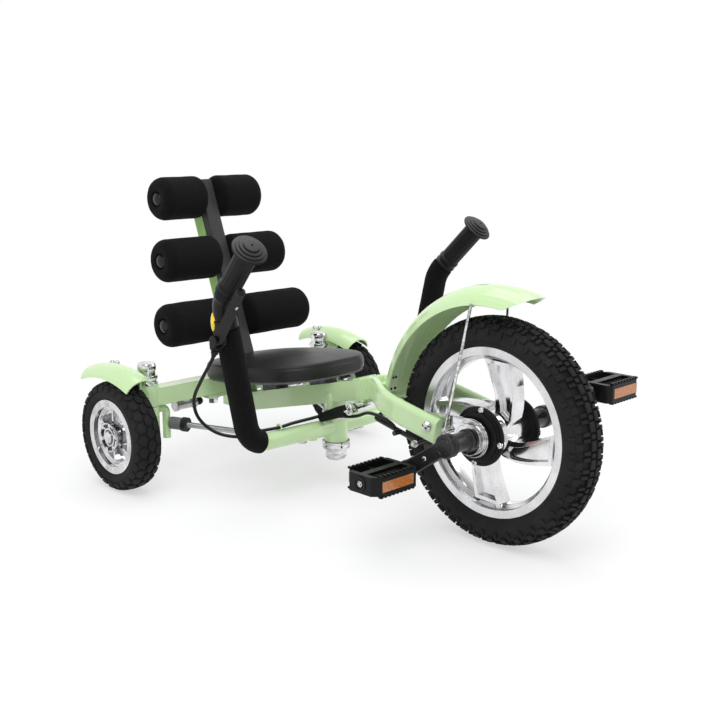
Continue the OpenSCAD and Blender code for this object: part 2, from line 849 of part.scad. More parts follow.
// Front fender: its front end is cut along a line from the corners of its sides up to the tip of its crown
module front_fender() {
    edge_r = fender_r - fender_depth;
    end = fender_span + fender_tip;
    corner = polar(edge_r, fender_span);
    line = polar(fender_r, end) - corner;
    color(green) at_front_axle() rotate([fender_start, 0, 0]) rotate([90, 0, 90]) difference() {
        rotate_extrude(angle = end, $fn = 96)
            crowned_sheet(fender_r, fender_half_w, fender_depth, fender_t, fender_edge_share);
        translate([corner.x, corner.y, -2 * fender_half_w]) rotate([0, 0, -atan2(line.y, -line.x)])
            translate([-edge_r, -edge_r, 0]) cube([edge_r, edge_r, 4 * fender_half_w]);
    }
}

module fender_stays() {
    edge_r = fender_r - fender_depth;
    top = [
        fender_half_w + stay_d / 2 + seat_gap, (edge_r + stay_d) * cos(stay_top_angle),
        (edge_r + stay_d) * sin(stay_top_angle)];
    foot = [blade_in_x + stay_d / 2 + stay_out, stay_foot_y, stay_foot_z];
    color(chrome) at_front_axle() both_sides() {
        bar(foot, top, stay_d / 2);
        translate([0, foot.y, foot.z]) bar_x(blade_in_x, blade_in_x + stay_d + stay_out, stay_d);
    }
}

module cable(route) {
    line = smooth(route, 2);
    section = [for (i = [0:7]) polar(cable_d / 2, 45 * i)];
    color(black) loft(swept(line, section, carried(tangents(line), [0, 0, 1])));
}
module brake_cable_middle() { cable(cable_middle_route); }
module brake_cable_front() { cable(cable_front_route); }
module brake_cable_rear() { cable(cable_rear_route); }

// Brake arm: a hub on the caliper bolt, a bar round the tyre and a pad beside the rim
module caliper_arm(s) {
    z = s < 0 ? caliper_z : caliper_z + caliper_arm_h + run_gap;
    pad_x = front_rim_w / 2 + pad_gap;
    pad_y = front_axle_y + pad_reach * cos(pad_angle);
    pad_z = front_axle_z - pad_reach * sin(pad_angle);
    arm_z = z + caliper_arm_h / 2;
    bend = caliper_hub_d / 2;
    elbow = [caliper_x, caliper_y - caliper_hub_d, arm_z];
    drop = (arm_z - pad_z) / (elbow.y - pad_y);
    color(black) on_side(s) difference() {
        union() {
            translate([0, caliper_y, z]) cylinder(h = caliper_arm_h, d = caliper_hub_d);
            bent_bar([[0, caliper_y, arm_z], elbow, [caliper_x, pad_y, pad_z]],
                     caliper_arm_d / 2 - 2 * run_gap - seat_gap, bend);
            translate([0, pad_y, pad_z])
                bar_x(pad_x + pad_size.x / 2, caliper_x + caliper_arm_d, caliper_arm_d / 2 - seat_gap);
            translate([pad_x, pad_y, pad_z]) rotate([-pad_angle, 0, 0])
                translate([0, -pad_size.y / 2, -pad_size.z / 2]) cube(pad_size);
            if (s < 0) translate([0, elbow.y - anchor_reach, arm_z - anchor_reach * drop])
                bar_x(caliper_x, caliper_x + anchor_l, anchor_d / 2);
        }
        translate([0, caliper_y, z - overrun])
            cylinder(h = caliper_arm_h + 2 * overrun, d = caliper_bolt_d + 2 * fit_gap);
    }
}
module caliper_arm_right() { caliper_arm(right); }
module caliper_arm_left() { caliper_arm(left); }

// Frame
module main_beam() {
    inner = beam_side - 2 * beam_wall;
    color(green) difference() {
        union() {
            in_beam() translate([-beam_side / 2, 0, -beam_side / 2]) cube([beam_side, beam_l, beam_side]);
            translate([0, steer_y, boss_foot_z])
                cylinder(h = beam_z(steer_y) - boss_foot_z, r = boss_r);
        }
        in_beam() translate([-inner / 2, -overrun, -inner / 2])
            cube([inner, beam_l - beam_wall + overrun, inner]);
    }
}

head_top_z = rear_beam_z + rear_beam_side / 2 + head_tube_rise;
head_foot_z = rear_beam_z - rear_beam_side / 2;
module rear_beam() {
    inner = rear_beam_side - 2 * beam_wall;
    color(green) difference() {
        union() {
            translate([-kingpin_x, kingpin_y - rear_beam_side / 2, head_foot_z])
                cube([2 * kingpin_x, rear_beam_side, rear_beam_side]);
            both_sides() translate([kingpin_x, kingpin_y, head_foot_z])
                cylinder(h = head_top_z - head_foot_z, d = head_tube_d);
        }
        translate([-kingpin_x + head_tube_d / 2, kingpin_y - inner / 2, rear_beam_z - inner / 2])
            cube([2 * kingpin_x - head_tube_d, inner, inner]);
        both_sides() translate([kingpin_x, kingpin_y, head_foot_z - overrun])
            cylinder(h = head_top_z - head_foot_z + 2 * overrun, d = kingpin_d + 2 * fit_gap);
    }
}

module rear_mount() {
    top = head_foot_z;
    front = kingpin_y - rear_beam_side / 2 - mount_front;
    color(green) {
        translate([-mount_w / 2, front, top - mount_t])
            cube([mount_w, kingpin_y + rear_beam_side / 2 - front, mount_t]);
        both_sides() translate([beam_side / 2, front, top - mount_t - cheek_h])
            cube([cheek_t, cheek_l, cheek_h + mount_t / 2]);
    }
}

module rear_nuts() {
    color(chrome) both_sides() translate([mount_nut_x, kingpin_y, head_foot_z - mount_t - mount_nut_h]) {
        cylinder(h = mount_nut_h, d = mount_nut_d, $fn = 6);
        translate([0, 0, mount_nut_h * 0.75]) cylinder(h = mount_nut_h / 4, d = mount_nut_d * 1.2);
    }
}

module kingpin_bearings() {
    color(chrome) both_sides() translate([kingpin_x, kingpin_y, head_top_z]) difference() {
        rotate_extrude() polygon([
            [0, 0], [stack_ring_d / 2, 0], [stack_ring_d / 2, stack_ring_h],
            [stack_waist_d / 2, stack_ring_h], [stack_waist_d / 2, 2 * stack_ring_h],
            [stack_ring_d / 2, 2 * stack_ring_h], [stack_ring_d / 2, 3 * stack_ring_h],
            [stack_nut_d / 2, 3 * stack_ring_h], [stack_nut_d / 2, 3 * stack_ring_h + stack_nut_h],
            [stack_waist_d / 2, 3 * stack_ring_h + stack_nut_h],
            [stack_waist_d / 2, 3 * stack_ring_h + stack_nut_h + stack_cap_h * 0.6],
            [stack_nut_d / 2, 3 * stack_ring_h + stack_nut_h + stack_cap_h],
            [0, 3 * stack_ring_h + stack_nut_h + stack_cap_h]]);
        translate([0, 0, -overrun]) cylinder(h = 3 * stack_ring_h + overrun, d = kingpin_d + 2 * fit_gap);
    }
}

module axle_stops() {
    stop_x = kingpin_x - tie_arm - arm_d / 2 - stop_start;
    drop = head_foot_z - stop_collar_d / 2;
    color(chrome) both_sides() {
        translate([0, kingpin_y, drop]) {
            bar_x(stop_x - stop_l, stop_x, stop_d / 2);
            bar_x(stop_x - stop_l, stop_x - stop_l + stop_collar_l, stop_collar_d / 2);
            bar_x(stop_x - stop_collar_l, stop_x, stop_collar_d / 2);
        }
        translate([stop_x - stop_l / 2 - stop_hanger_t, kingpin_y - stop_hanger_t, drop])
            cube([2 * stop_hanger_t, 2 * stop_hanger_t, head_foot_z - drop]);
    }
}

module back_post() {
    top = rod_stations[2] + post_over;
    front = cover_t - cover_front;
    inner_w = post_w - 2 * beam_wall;
    inner_d = post_d - 2 * beam_wall;
    beam_top = rear_beam_z + rear_beam_side / 2;
    color(green) difference() {
        in_post() difference() {
            translate([-post_w / 2, front, -post_d]) cube([post_w, post_d, top + post_d]);
            translate([-inner_w / 2, front + beam_wall, -post_d - overrun])
                cube([inner_w, inner_d, top + 2 * post_d]);
        }
        in_beam() translate([-post_w, 0, -post_w - post_d])
            cube([2 * post_w, beam_l, post_w + post_d + beam_side / 2]);
        translate([-post_w, kingpin_y - rear_beam_side / 2 - seat_gap, 0])
            cube([2 * post_w, 2 * rear_beam_side, beam_top + seat_gap]);
    }
}

module back_cover() {
    top = rod_stations[2] + post_over;
    color(black) in_post() difference() {
        union() {
            translate([-post_w / 2, -cover_front, post_foot])
                cube([post_w, cover_t, top - post_foot + cover_cap]);
            translate([-post_w / 2, -cover_front, top]) cube([post_w, cover_t + post_d, cover_cap]);
        }
        for (z = rod_stations) translate([0, 0, z]) bar_x(-post_w, post_w, roller_rod_d / 2 + seat_gap);
    }
}

module roller_rods() {
    color(steel) in_post() for (i = [0:2]) translate([0, 0, rod_stations[i]])
        bar_x(roller_dimple - roller_ends[i], roller_ends[i] - roller_dimple, roller_rod_d / 2);
}

module rollers(i) {
    l = roller_ends[i] - roller_start;
    shoulder = roller_d / 2 - roller_round;
    steps = 6;
    color(black) in_post() both_sides() translate([roller_start, 0, rod_stations[i]])
        rotate([0, 90, 0]) rotate_extrude() polygon([
            [roller_rod_d / 2 + seat_gap, 0],
            for (k = [0:steps]) polar(roller_round, -90 + 90 * k / steps) + [shoulder, roller_round],
            for (k = [0:steps]) polar(roller_round, 90 * k / steps) + [shoulder, l - roller_round],
            [dimple_d / 2, l - seat_gap], [cap_d / 2 + overrun, l - roller_dimple],
            [roller_rod_d / 2 + seat_gap, l - roller_dimple]]);
}
module rollers_low() { rollers(0); }
module rollers_middle() { rollers(1); }
module rollers_top() { rollers(2); }

module roller_caps() {
    color(black) in_post() both_sides() for (i = [0:2])
        translate([roller_ends[i] - roller_dimple, 0, rod_stations[i]]) rotate([0, 90, 0])
            rotate_extrude() polygon([
                [0, 0], [cap_d / 2, 0], [cap_d / 2, cap_h / 3], [cap_d / 3, cap_h * 0.85], [0, cap_h]]);
}

// Seat outline at a share of its size
function seat_ring(share, z) = [for (i = [0:47]) let (a = -7.5 * i, c = cos(a), s = sin(a))
    [share * seat_w / 2 * sign(c) * pow(abs(c), 2 / seat_power),
     share * seat_l / 2 * sign(s) * pow(abs(s), 2 / seat_power), z]];
// Rings of the seat: size shares, with heights as shares of the skirt and of the crown
seat_ring_shares = [[1, 0, 0], [1.01, 0.5, 0], [1, 0.86, 0], [0.975, 1, 0], [0.93, 1, 0.22], [0.75, 1, 0.6],
    [0.45, 1, 0.9], [0.1, 1, 1]];

module seat() {
    inner = 1 - 2 * seat_wall / seat_w;
    ceiling = seat_skirt - seat_wall;
    rings = concat(
        [seat_ring(0.1, ceiling), seat_ring(inner, ceiling), seat_ring(inner, 0)],
        [for (r = seat_ring_shares) seat_ring(r[0], r[1] * seat_skirt + r[2] * seat_crown)]);
    color(black) difference() {
        in_seat() loft(rings);
        in_post() translate([-seat_notch_w / 2, -cover_front - seat_notch_gap, 0])
            cube([seat_notch_w, seat_l, rod_stations[0]]);
    }
}

module seat_plate() {
    color(steel) difference() {
        union() {
            in_seat() translate([0, 0, -seat_plate_t]) linear_extrude(seat_plate_t)
                polygon([for (p = seat_ring(seat_plate_share, 0)) [p.x, p.y]]);
            for (y = seat_leg_places) {
                top = seat_z - (y - seat_y) * tan(seat_tilt) - seat_plate_t / 2;
                translate([-seat_leg_w / 2, y - seat_leg_l / 2, beam_z(y)])
                    cube([seat_leg_w, seat_leg_l, top - beam_z(y)]);
            }
        }
        in_beam() translate([-beam_side, -overrun, -beam_side * 1.5])
            cube([2 * beam_side, beam_l, 2 * beam_side]);
        in_post() translate([-seat_notch_w / 2, -cover_front - seat_notch_gap, -post_d])
            cube([seat_notch_w, seat_l, rod_stations[0]]);
    }
}

// Steering
lock_foot_z = hub_foot_z - lower_cup_h - lock_nut_h;
module steering_post() {
    color(steel) translate([0, steer_y, lock_foot_z + lock_nut_h / 3])
        cylinder(h = boss_foot_z - lock_foot_z - lock_nut_h / 3, d = steer_post_d);
}

module headset_cups() {
    bore = steer_post_d / 2 + fit_gap;
    color(chrome) translate([0, steer_y, 0]) {
        translate([0, 0, hub_top_z + run_gap]) difference() {
            cylinder(h = boss_foot_z - hub_top_z - run_gap, d = upper_cup_d);
            translate([0, 0, -overrun]) cylinder(h = boss_foot_z, r = bore);
        }
        difference() {
            rotate_extrude() translate([0, hub_foot_z - run_gap]) polygon([
                [0, 0], [lower_cup_d / 2, 0], [lower_cup_d / 2, -lower_cup_h / 3],
                [lower_cup_d / 2 - overrun, -lower_cup_h / 3], [lower_cup_d / 2 - overrun, -lower_cup_h / 2],
                [lower_cup_d / 2, -lower_cup_h / 2], [lower_cup_d / 2, -lower_cup_h],
                [lock_nut_d / 2, -lower_cup_h], [lock_nut_d / 2, run_gap - lower_cup_h - lock_nut_h * 0.8],
                [lock_nut_d / 2 * 0.85, run_gap - lower_cup_h - lock_nut_h],
                [0, run_gap - lower_cup_h - lock_nut_h]]);
            translate([0, 0, lock_foot_z + lock_nut_h / 3]) cylinder(h = boss_foot_z, r = bore);
        }
    }
}

// Corners of the left lever tube, from the hub to the tip of the grip
corner_elbow = [elbow_x, steer_y, bar_z + bar_rise];
corner_grip = [grip_corner.x, steer_y + grip_corner.y, grip_corner.z];
tip = [grip_tip.x, steer_y + grip_tip.y, grip_tip.z];
grip_dir = unit(tip - corner_grip);
lever_dir = unit(corner_grip - corner_elbow);
lever_route = [[0, steer_y, bar_z], corner_elbow, corner_grip, tip - grip_dir * grip_end_wall];
grip_foot = tip - grip_dir * grip_l;
ring_top = corner_grip - lever_dir * bar_bend * 0.55;
ring_foot = ring_top - lever_dir * bracket_ring_l;

module crossbar() {
    color(green) difference() {
        union() {
            both_sides() bent_bar(lever_route, bar_d / 2, bar_bend);
            translate([0, steer_y, hub_foot_z]) cylinder(h = hub_top_z - hub_foot_z, d = bar_hub_d);
            both_sides() translate([tie_front_x, steer_y, tie_front_z + tie_eye_h / 2 + lug_gap]) {
                linear_extrude(lug_t) link(tie_eye_d / 2, tie_eye_d / 2, tie_front_back);
                translate([0, tie_front_back, -tie_eye_h - 2 * lug_gap])
                    cylinder(h = lug_t / 2 + tie_eye_h + 2 * lug_gap, d = tie_pin_d);
            }
            translate([-guide_x, steer_y, bar_z + bar_d / 2 + guide_d / 2 + overrun]) rotate([0, 90, 0])
                rotate_extrude() translate([guide_d / 2, 0]) circle(d = guide_wire);
        }
        translate([0, steer_y, hub_foot_z - overrun])
            cylinder(h = hub_top_z - hub_foot_z + 2 * overrun, d = steer_post_d + 2 * fit_gap);
    }
}

module sleeve(s) {
    bore = bar_d / 2 + seat_gap;
    start = corner_elbow + (lever_route[0] - corner_elbow) * 2 * bar_bend / elbow_x;
    end = s < 0 ? [ring_foot - lever_dir * seat_gap] : [corner_grip, grip_foot - grip_dir * seat_gap];
    color(black) on_side(s) difference() {
        bent_bar(concat([start, corner_elbow], end), bore + sleeve_t, bar_bend, bore);
        cube([sleeve_start_x, 2 * steer_y, 2 * bar_z]);
    }
}
module sleeve_right() { sleeve(right); }
module sleeve_left() { sleeve(left); }

module grip(s) {
    bore = bar_d / 2 + seat_gap;
    d = tip - grip_foot;
    r = grip_d / 2;
    flange = grip_flange_d / 2;
    color(black) on_side(s) translate(grip_foot) rotate([0, acos(d.z / norm(d)), atan2(d.y, d.x)])
        rotate_extrude() polygon([
            [bore, 0], [grip_ring_d / 2, 0], [grip_ring_d / 2, grip_ring_l], [r, grip_ring_l + grip_groove],
            [r, grip_ring_l + 2 * grip_groove], [grip_ring_d / 2, grip_ring_l + 3 * grip_groove],
            [grip_ring_d / 2, 2 * grip_ring_l + 3 * grip_groove], [r, 2 * grip_ring_l + 4 * grip_groove],
            [r, grip_l - grip_flange_t - grip_groove], [flange - grip_groove, grip_l - grip_flange_t],
            [flange, grip_l - grip_flange_t * 0.7], [flange, grip_l - grip_flange_t * 0.4],
            [flange * 0.8, grip_l - grip_flange_t * 0.12], [flange * 0.4, grip_l], [0, grip_l],
            [0, grip_l - grip_end_wall + seat_gap], [bore, grip_l - grip_end_wall + seat_gap]]);
}
module grip_right() { grip(right); }
module grip_left() { grip(left); }

// Brake lever bracket: a ring on the lever tube with two ears that hold the pivot pin
lever_pivot = [lever_x, lever_pivot_y, lever_pivot_z];
module brake_bracket() {
    ring_r = bar_d / 2 + bracket_ring_wall;
    ear_x = lever_x - lever_root_w / 2;
    color(black) on_side(right) difference() {
        union() {
            bar(ring_foot, ring_top, ring_r);
            for (x = [ear_x, lever_x + lever_root_w / 2 - ear_t]) hull() {
                translate([x, lever_pivot_y, lever_pivot_z]) bar_x(0, ear_t, lever_root_d / 2);
                translate([x, ring_foot.y, ring_foot.z]) bar_x(0, ear_t, lever_root_d / 2);
            }
            translate(lever_pivot) bar_x(-lever_root_w / 2, lever_root_w / 2, lever_pin_d / 2);
        }
        bar(ring_foot - lever_dir * overrun, ring_top + lever_dir * overrun, bar_d / 2 + seat_gap);
        bar(ring_foot - lever_dir * bracket_below, ring_foot, bar_d / 2 + sleeve_t + run_gap);
    }
}

module brake_lever() {
    w = lever_root_w - 2 * ear_t - 2 * run_gap;
    color(black) on_side(right) translate(lever_pivot) difference() {
        union() {
            link_x(-w / 2, w, lever_root_d / 3, lever_w / 2, brake_lever_l, 90 + lever_lean);
            rotate([90 + lever_lean, 0, 0]) translate([0, brake_lever_l, 0]) sphere(d = lever_tip_d);
        }
        bar_x(-lever_root_w, lever_root_w, lever_pin_d / 2 + fit_gap);
    }
}

// Tie rod: an eye at the crossbar, a rod, a ring and a boot round the knuckle's stud
tie_front = [tie_front_x, steer_y + tie_front_back, tie_front_z];
tie_rear = [kingpin_x - tie_arm, kingpin_y, tie_z];
tie_dir = unit(tie_front - tie_rear);
module tie_rod(s) {
    mouth = tie_rear + tie_dir * boot_start;
    neck = mouth + tie_dir * boot_l;
    color(steel) on_side(s) difference() {
        union() {
            translate(tie_front - [0, 0, tie_eye_h / 2]) cylinder(h = tie_eye_h, d = tie_eye_d);
            bar(neck - tie_dir * boot_ring_l, tie_front, tie_rod_d / 2);
            bar(mouth, neck, boot_d / 2);
            bar(neck, neck + tie_dir * boot_ring_l, boot_ring_d / 2);
        }
        translate(tie_front - [0, 0, tie_eye_h]) cylinder(h = 2 * tie_eye_h, d = tie_pin_d + 2 * fit_gap);
        bar(mouth - tie_dir * overrun, neck - tie_dir * boot_wall, boot_d / 2 - boot_wall);
    }
}
module tie_rod_right() { tie_rod(right); }
module tie_rod_left() { tie_rod(left); }

// Knuckle: boss and kingpin, stub axle, fender plate with its strap, steering arm with its stud
boss_top_z = head_foot_z - run_gap;
fender_arch_y = rear_axle_y + rear_fender_peak;
fender_arch_z = rear_axle_z + rear_tyre_d / 2 + rear_fender_gap + rear_fender_depth - rear_fender_r;
fender_in_x = rear_wheel_x - rear_fender_w / 2 - (rear_wheel_x - kingpin_x) * 0.18;
fender_mid_x = fender_in_x + rear_fender_w / 2;

// Children at the arch of the left rear fender, swept from one angle to another behind the upright
module fender_arch(from, to, lift, depth, t, half_w, edge_share) {
    translate([fender_mid_x, fender_arch_y, fender_arch_z]) rotate([90 - to, 0, 0]) rotate([90, 0, 90])
        rotate_extrude(angle = to - from, $fn = 192)
            crowned_sheet(rear_fender_r - lift, half_w, depth, t, edge_share);
}

module knuckle(s) {
    arm_z = boss_top_z - arm_d / 2 - overrun;
    arm_x = tie_rear.x;
    plate_x = fender_in_x + fender_t + strap_t;
    plate_r = rear_fender_r - rear_fender_depth + fender_t + strap_t;
    strap_half = rear_fender_w / 2 - fender_t - 3 * seat_gap;
    strap_angle = -asin(rear_fender_peak / rear_fender_r);
    color(green) on_side(s) {
        translate([kingpin_x, kingpin_y, rear_axle_z - boss_drop / 2]) rotate([0, 0, 90])
            cylinder(h = boss_top_z - rear_axle_z + boss_drop / 2, d = boss_d);
        translate([kingpin_x, kingpin_y, boss_top_z - overrun])
            cylinder(h = head_top_z + 2 * stack_ring_h - boss_top_z, d = kingpin_d);
        translate([0, rear_axle_y, rear_axle_z])
            bar_x(kingpin_x, rear_wheel_x + rear_rim_w / 2 + hub_cap_t / 2, stub_axle_d / 2);
        intersection() {
            translate([plate_x, rear_axle_y - fender_plate_w / 2, rear_axle_z - boss_drop / 2])
                cube([fender_plate_t, fender_plate_w, rear_fender_r]);
            translate([0, fender_arch_y, fender_arch_z])
                bar_x(plate_x - overrun, plate_x + fender_plate_t + overrun, plate_r);
        }
        fender_arch(strap_angle - strap_half_angle, strap_angle + strap_half_angle, fender_t + 4 * seat_gap,
                    rear_fender_depth - fender_t, strap_t, strap_half, strap_edge_share);
        bent_bar([
            [kingpin_x, kingpin_y, arm_z], [arm_x, kingpin_y, arm_z],
            [arm_x, kingpin_y, boss_top_z - arm_drop]], arm_d / 2, arm_bend);
        bar(tie_rear, tie_rear + tie_dir * stud_l, stud_d / 2);
    }
}
module knuckle_right() { knuckle(right); }
module knuckle_left() { knuckle(left); }

module rear_fender(s) {
    edge_r = rear_fender_r - rear_fender_depth;
    front = -asin((rear_fender_front + rear_fender_peak) / edge_r);
    back = asin((rear_fender_back - rear_fender_peak) / edge_r);
    color(green) on_side(s) fender_arch(front, back, 0, rear_fender_depth, fender_t, rear_fender_w / 2, 1);
}
module rear_fender_right() { rear_fender(right); }
module rear_fender_left() { rear_fender(left); }

module rear_wheel(s) {
    rim_in = rear_rim_d / 2 - rim_lip - rim_well / 2;
    cap_z = rear_rim_w / 2;
    color(chrome) on_side(s) at_rear_axle() rotate([0, 90, 0]) difference() {
        union() {
            rim(rear_rim_d, rear_rim_w);
            translate([0, 0, -rear_rim_w / 2]) cylinder(h = rear_rim_w, d = rear_hub_d);
            translate([0, 0, rear_web_x]) cylinder(h = rear_web_t, r = rim_in);
            for (i = [0:rear_spokes - 1]) rotate([0, 0, 360 * i / rear_spokes])
                translate([0, -rear_rib_t / 2, -rear_rib_half]) cube([rim_in, rear_rib_t, 2 * rear_rib_half]);
            translate([0, 0, cap_z - overrun]) cylinder(h = hub_cap_t + overrun, d = hub_cap_d);
        }
        for (i = [0:hub_cap_slots - 1]) rotate([0, 0, 360 * i / hub_cap_slots])
            translate([hub_cap_d / 2 - hub_cap_ring - overrun, -overrun, cap_z + hub_cap_t / 2])
                cube([hub_cap_ring + 2 * overrun, 2 * overrun, hub_cap_t]);
        translate([0, 0, cap_z + hub_cap_t / 2]) difference() {
            cylinder(h = hub_cap_t, d = hub_cap_d - 2 * hub_cap_ring);
            translate([0, 0, -overrun]) cylinder(h = 2 * hub_cap_t, d = hub_nut_d);
        }
        translate([0, 0, -rear_rim_w])
            cylinder(h = 1.5 * rear_rim_w + hub_cap_t / 2 + run_gap, d = stub_axle_d + 2 * fit_gap);
    }
}
module rear_wheel_right() { rear_wheel(right); }
module rear_wheel_left() { rear_wheel(left); }

module rear_tyre(s) {
    color(black) on_side(s) at_rear_axle() rotate([0, 90, 0])
        tyre(rear_tyre_d, rear_tyre_w, rear_rim_d, rear_knob_h, rear_knobs, rear_row_shares, rear_fullness);
}
module rear_tyre_right() { rear_tyre(right); }
module rear_tyre_left() { rear_tyre(left); }

// Quick-release clamp of the boom
module clamp_collar() {
    outer = beam_side + 2 * collar_t;
    color(chrome) in_beam() translate([0, collar_start, 0]) {
        difference() {
            translate([-outer / 2, 0, -outer / 2]) cube([outer, collar_l, outer]);
            translate([-beam_side / 2, -overrun, -beam_side / 2])
                cube([beam_side, collar_l + 2 * overrun, beam_side]);
        }
        translate([-outer / 4, 0, -clamp_drop]) cube([outer / 2, collar_l, clamp_drop - beam_side / 2]);
        translate([0, collar_l / 2, -clamp_drop]) bar_x(-clamp_reach, outer / 2, clamp_d / 2);
    }
}

// Children in the frame of the clamp lever, at its pivot beside the barrel, with Y running back
module at_clamp() {
    in_beam() translate([-clamp_reach - clamp_d / 2, collar_start + collar_l / 2, -clamp_drop])
        rotate([-clamp_droop, 0, 0]) children();
}
module clamp_lever() {
    color(chrome) at_clamp() {
        translate([0, 0, -clamp_d / 2]) cylinder(h = clamp_d, d = clamp_d - 2 * run_gap);
        translate([-clamp_lever_d / 2, 0, -clamp_lever_d / 2])
            cube([clamp_lever_d, clamp_lever_l, clamp_lever_d]);
    }
}
module clamp_handle() {
    color(black) at_clamp() translate([0, clamp_lever_l, 0]) rotate([0, 90, 0])
        translate([0, 0, -handle_t / 2]) linear_extrude(handle_t) {
            translate([0, handle_h / 2]) link(handle_h / 2, handle_h / 2 * 0.8, handle_l - handle_h);
            translate([-handle_h / 2, 0]) square([handle_h, handle_h / 2]);
        }
}

main_beam();
rear_beam();
rear_mount();
rear_nuts();
kingpin_bearings();
axle_stops();
back_post();
back_cover();
roller_rods();
rollers_low();
rollers_middle();
rollers_top();
roller_caps();
seat();
seat_plate();
steering_post();
headset_cups();
clamp_collar();
clamp_lever();
clamp_handle();
fork_yoke();
fork_blade_right();
fork_blade_left();
axle_brackets();
bearing_cups();
fork_bolts();
front_fender();
fender_stays();
brake_cable_middle();
brake_cable_front();
caliper_arm_right();
caliper_arm_left();
front_tyre();
front_wheel();
hub_flanges();
front_axle();
crank_right();
crank_left();
pedal_right();
pedal_left();
reflectors_right();
reflectors_left();
crossbar();
sleeve_right();
sleeve_left();
grip_right();
grip_left();
brake_bracket();
brake_cable_rear();
brake_lever();
tie_rod_right();
tie_rod_left();
knuckle_right();
knuckle_left();
rear_fender_right();
rear_fender_left();
rear_wheel_right();
rear_wheel_left();
rear_tyre_right();
rear_tyre_left();
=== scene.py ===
"""Finishes, soft pieces, small fittings and studio for a child's low rider tricycle.

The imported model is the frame: its nodes keep their place and get procedural finishes. The foam, the grips,
the tyres, the seat, the cranks, the brake cable and some brackets are made here in the place of their nodes.
Lengths are in metres, with X to the rider's left, Y to the back and Z up.
"""

import bisect
import math

import bpy
from mathutils import Matrix, Vector, geometry, noise


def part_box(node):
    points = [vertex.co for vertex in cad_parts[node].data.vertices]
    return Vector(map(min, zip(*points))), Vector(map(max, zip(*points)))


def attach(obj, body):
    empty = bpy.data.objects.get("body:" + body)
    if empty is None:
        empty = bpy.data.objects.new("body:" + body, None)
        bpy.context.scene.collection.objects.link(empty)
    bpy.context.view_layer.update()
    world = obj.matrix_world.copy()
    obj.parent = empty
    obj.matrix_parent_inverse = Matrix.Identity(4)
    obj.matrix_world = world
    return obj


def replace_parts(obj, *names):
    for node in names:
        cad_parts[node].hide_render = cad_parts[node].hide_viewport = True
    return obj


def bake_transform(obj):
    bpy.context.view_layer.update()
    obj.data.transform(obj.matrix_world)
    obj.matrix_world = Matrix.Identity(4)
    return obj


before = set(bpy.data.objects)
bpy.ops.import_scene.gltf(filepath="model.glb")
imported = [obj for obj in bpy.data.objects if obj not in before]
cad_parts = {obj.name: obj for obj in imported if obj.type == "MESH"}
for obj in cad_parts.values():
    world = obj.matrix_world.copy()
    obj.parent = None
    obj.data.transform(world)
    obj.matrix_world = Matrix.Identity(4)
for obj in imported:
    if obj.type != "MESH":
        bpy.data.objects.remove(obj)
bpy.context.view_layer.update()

bl_info = {
    "name": "Low rider tricycle",
    "version": (1, 0, 0),
    "blender": (4, 5, 0),
    "location": "View3D > Sidebar > Tricycle",
    "description": "Dresses the frame of a low rider tricycle with finishes, foam, cable and small fittings",
    "category": "Object",
}

# Places on the frame

MM = 0.001
RIGHT, LEFT = -1, 1
SIDES = {"right": RIGHT, "left": LEFT}
CAMERA = Vector((-1.0945, -1.0986, 0.5452))
CAMERA_RIGHT = Vector((0.7097, -0.7045, 0))
CAMERA_UP = Vector((0.1480, 0.1491, 0.9778))
CAMERA_AHEAD = Vector((0.6888, 0.6939, -0.2101))
FRONT_AXLE = Vector((0, -0.2565, 0.155))
REAR_AXLE = Vector((0.239, 0.2885, 0.086))
CRANK_TURN = {RIGHT: math.radians(-34), LEFT: math.radians(146)}
CRANK_FACE = 0.110
PEDAL_START = 0.116
PEDAL_LENGTH = 0.077
CLAMP_AXIS = Vector((0, -0.0156, 0.1471))
STEERING_HUB = Vector((0, 0.0565, 0.100))
ELBOW = Vector((0.171, 0.0565, 0.104))
GRIP_CORNER = Vector((0.221, 0.0475, 0.318))
GRIP_TIP = Vector((0.2315, -0.0335, 0.4027))
GRIP_LENGTH = 0.096
BAR_BEND = 0.040
RISE = (GRIP_CORNER - ELBOW).normalized()
REACH = (GRIP_TIP - GRIP_CORNER).normalized()
GRIP_FOOT = GRIP_TIP - REACH * (GRIP_LENGTH + 0.0002)
LEVER_BELOW = BAR_BEND * 0.55
LEVER_BAND = 0.0138
LEVER_PIN = (-0.236, 0.039, 0.268)
TIP = 0.0004


def on_side(v, side):
    """A point of the left side moved to a side."""
    return Vector((v[0] * side, v[1], v[2]))


# Sizes and colours

def size(name, description, default):
    """A length in metres."""
    return bpy.props.FloatProperty(name=name, description=description, default=default, unit="LENGTH")


def count(name, description, default):
    """A number of repeats."""
    return bpy.props.IntProperty(name=name, description=description, default=default)


def colour(name, description, default):
    """A colour in linear light."""
    return bpy.props.FloatVectorProperty(
        name=name, description=description, default=default, size=3, min=0, max=1, subtype="COLOR")


class TricycleSizes(bpy.types.PropertyGroup):
    """Sizes of the pieces that are made over the frame."""

    roller_round: size("Roller rounding", "Radius of the foam rollers' rounded ends", 0.0165)
    roller_start: size("Roller start", "Distance of a roller's inner end from the mid-plane", 0.016)
    dimple: size("Dimple", "Depth of the hollow in a roller's outer end", 0.0078)
    foam_waviness: size("Foam waviness", "Height of the soft unevenness of the foam", 0.0005)
    sleeve_d: size("Sleeve diameter", "Outer diameter of the lever sleeves", 0.0352)
    grip_ribs: count("Grip ribs", "Lengthwise ribs round a grip", 14)
    front_knobs: count("Front knobs", "Repeats of the front tread's pattern", 40)
    rear_blocks: count("Rear blocks", "Blocks in each row of the rear treads", 28)
    cable_d: size("Cable diameter", "Diameter of the brake cable", 0.005)
    bolt_d: size("Hub bolt diameter", "Diameter of the bolt heads on the hub flanges", 0.0086)
    rivet_d: size("Rivet diameter", "Diameter of the rivets on the crank arms", 0.007)


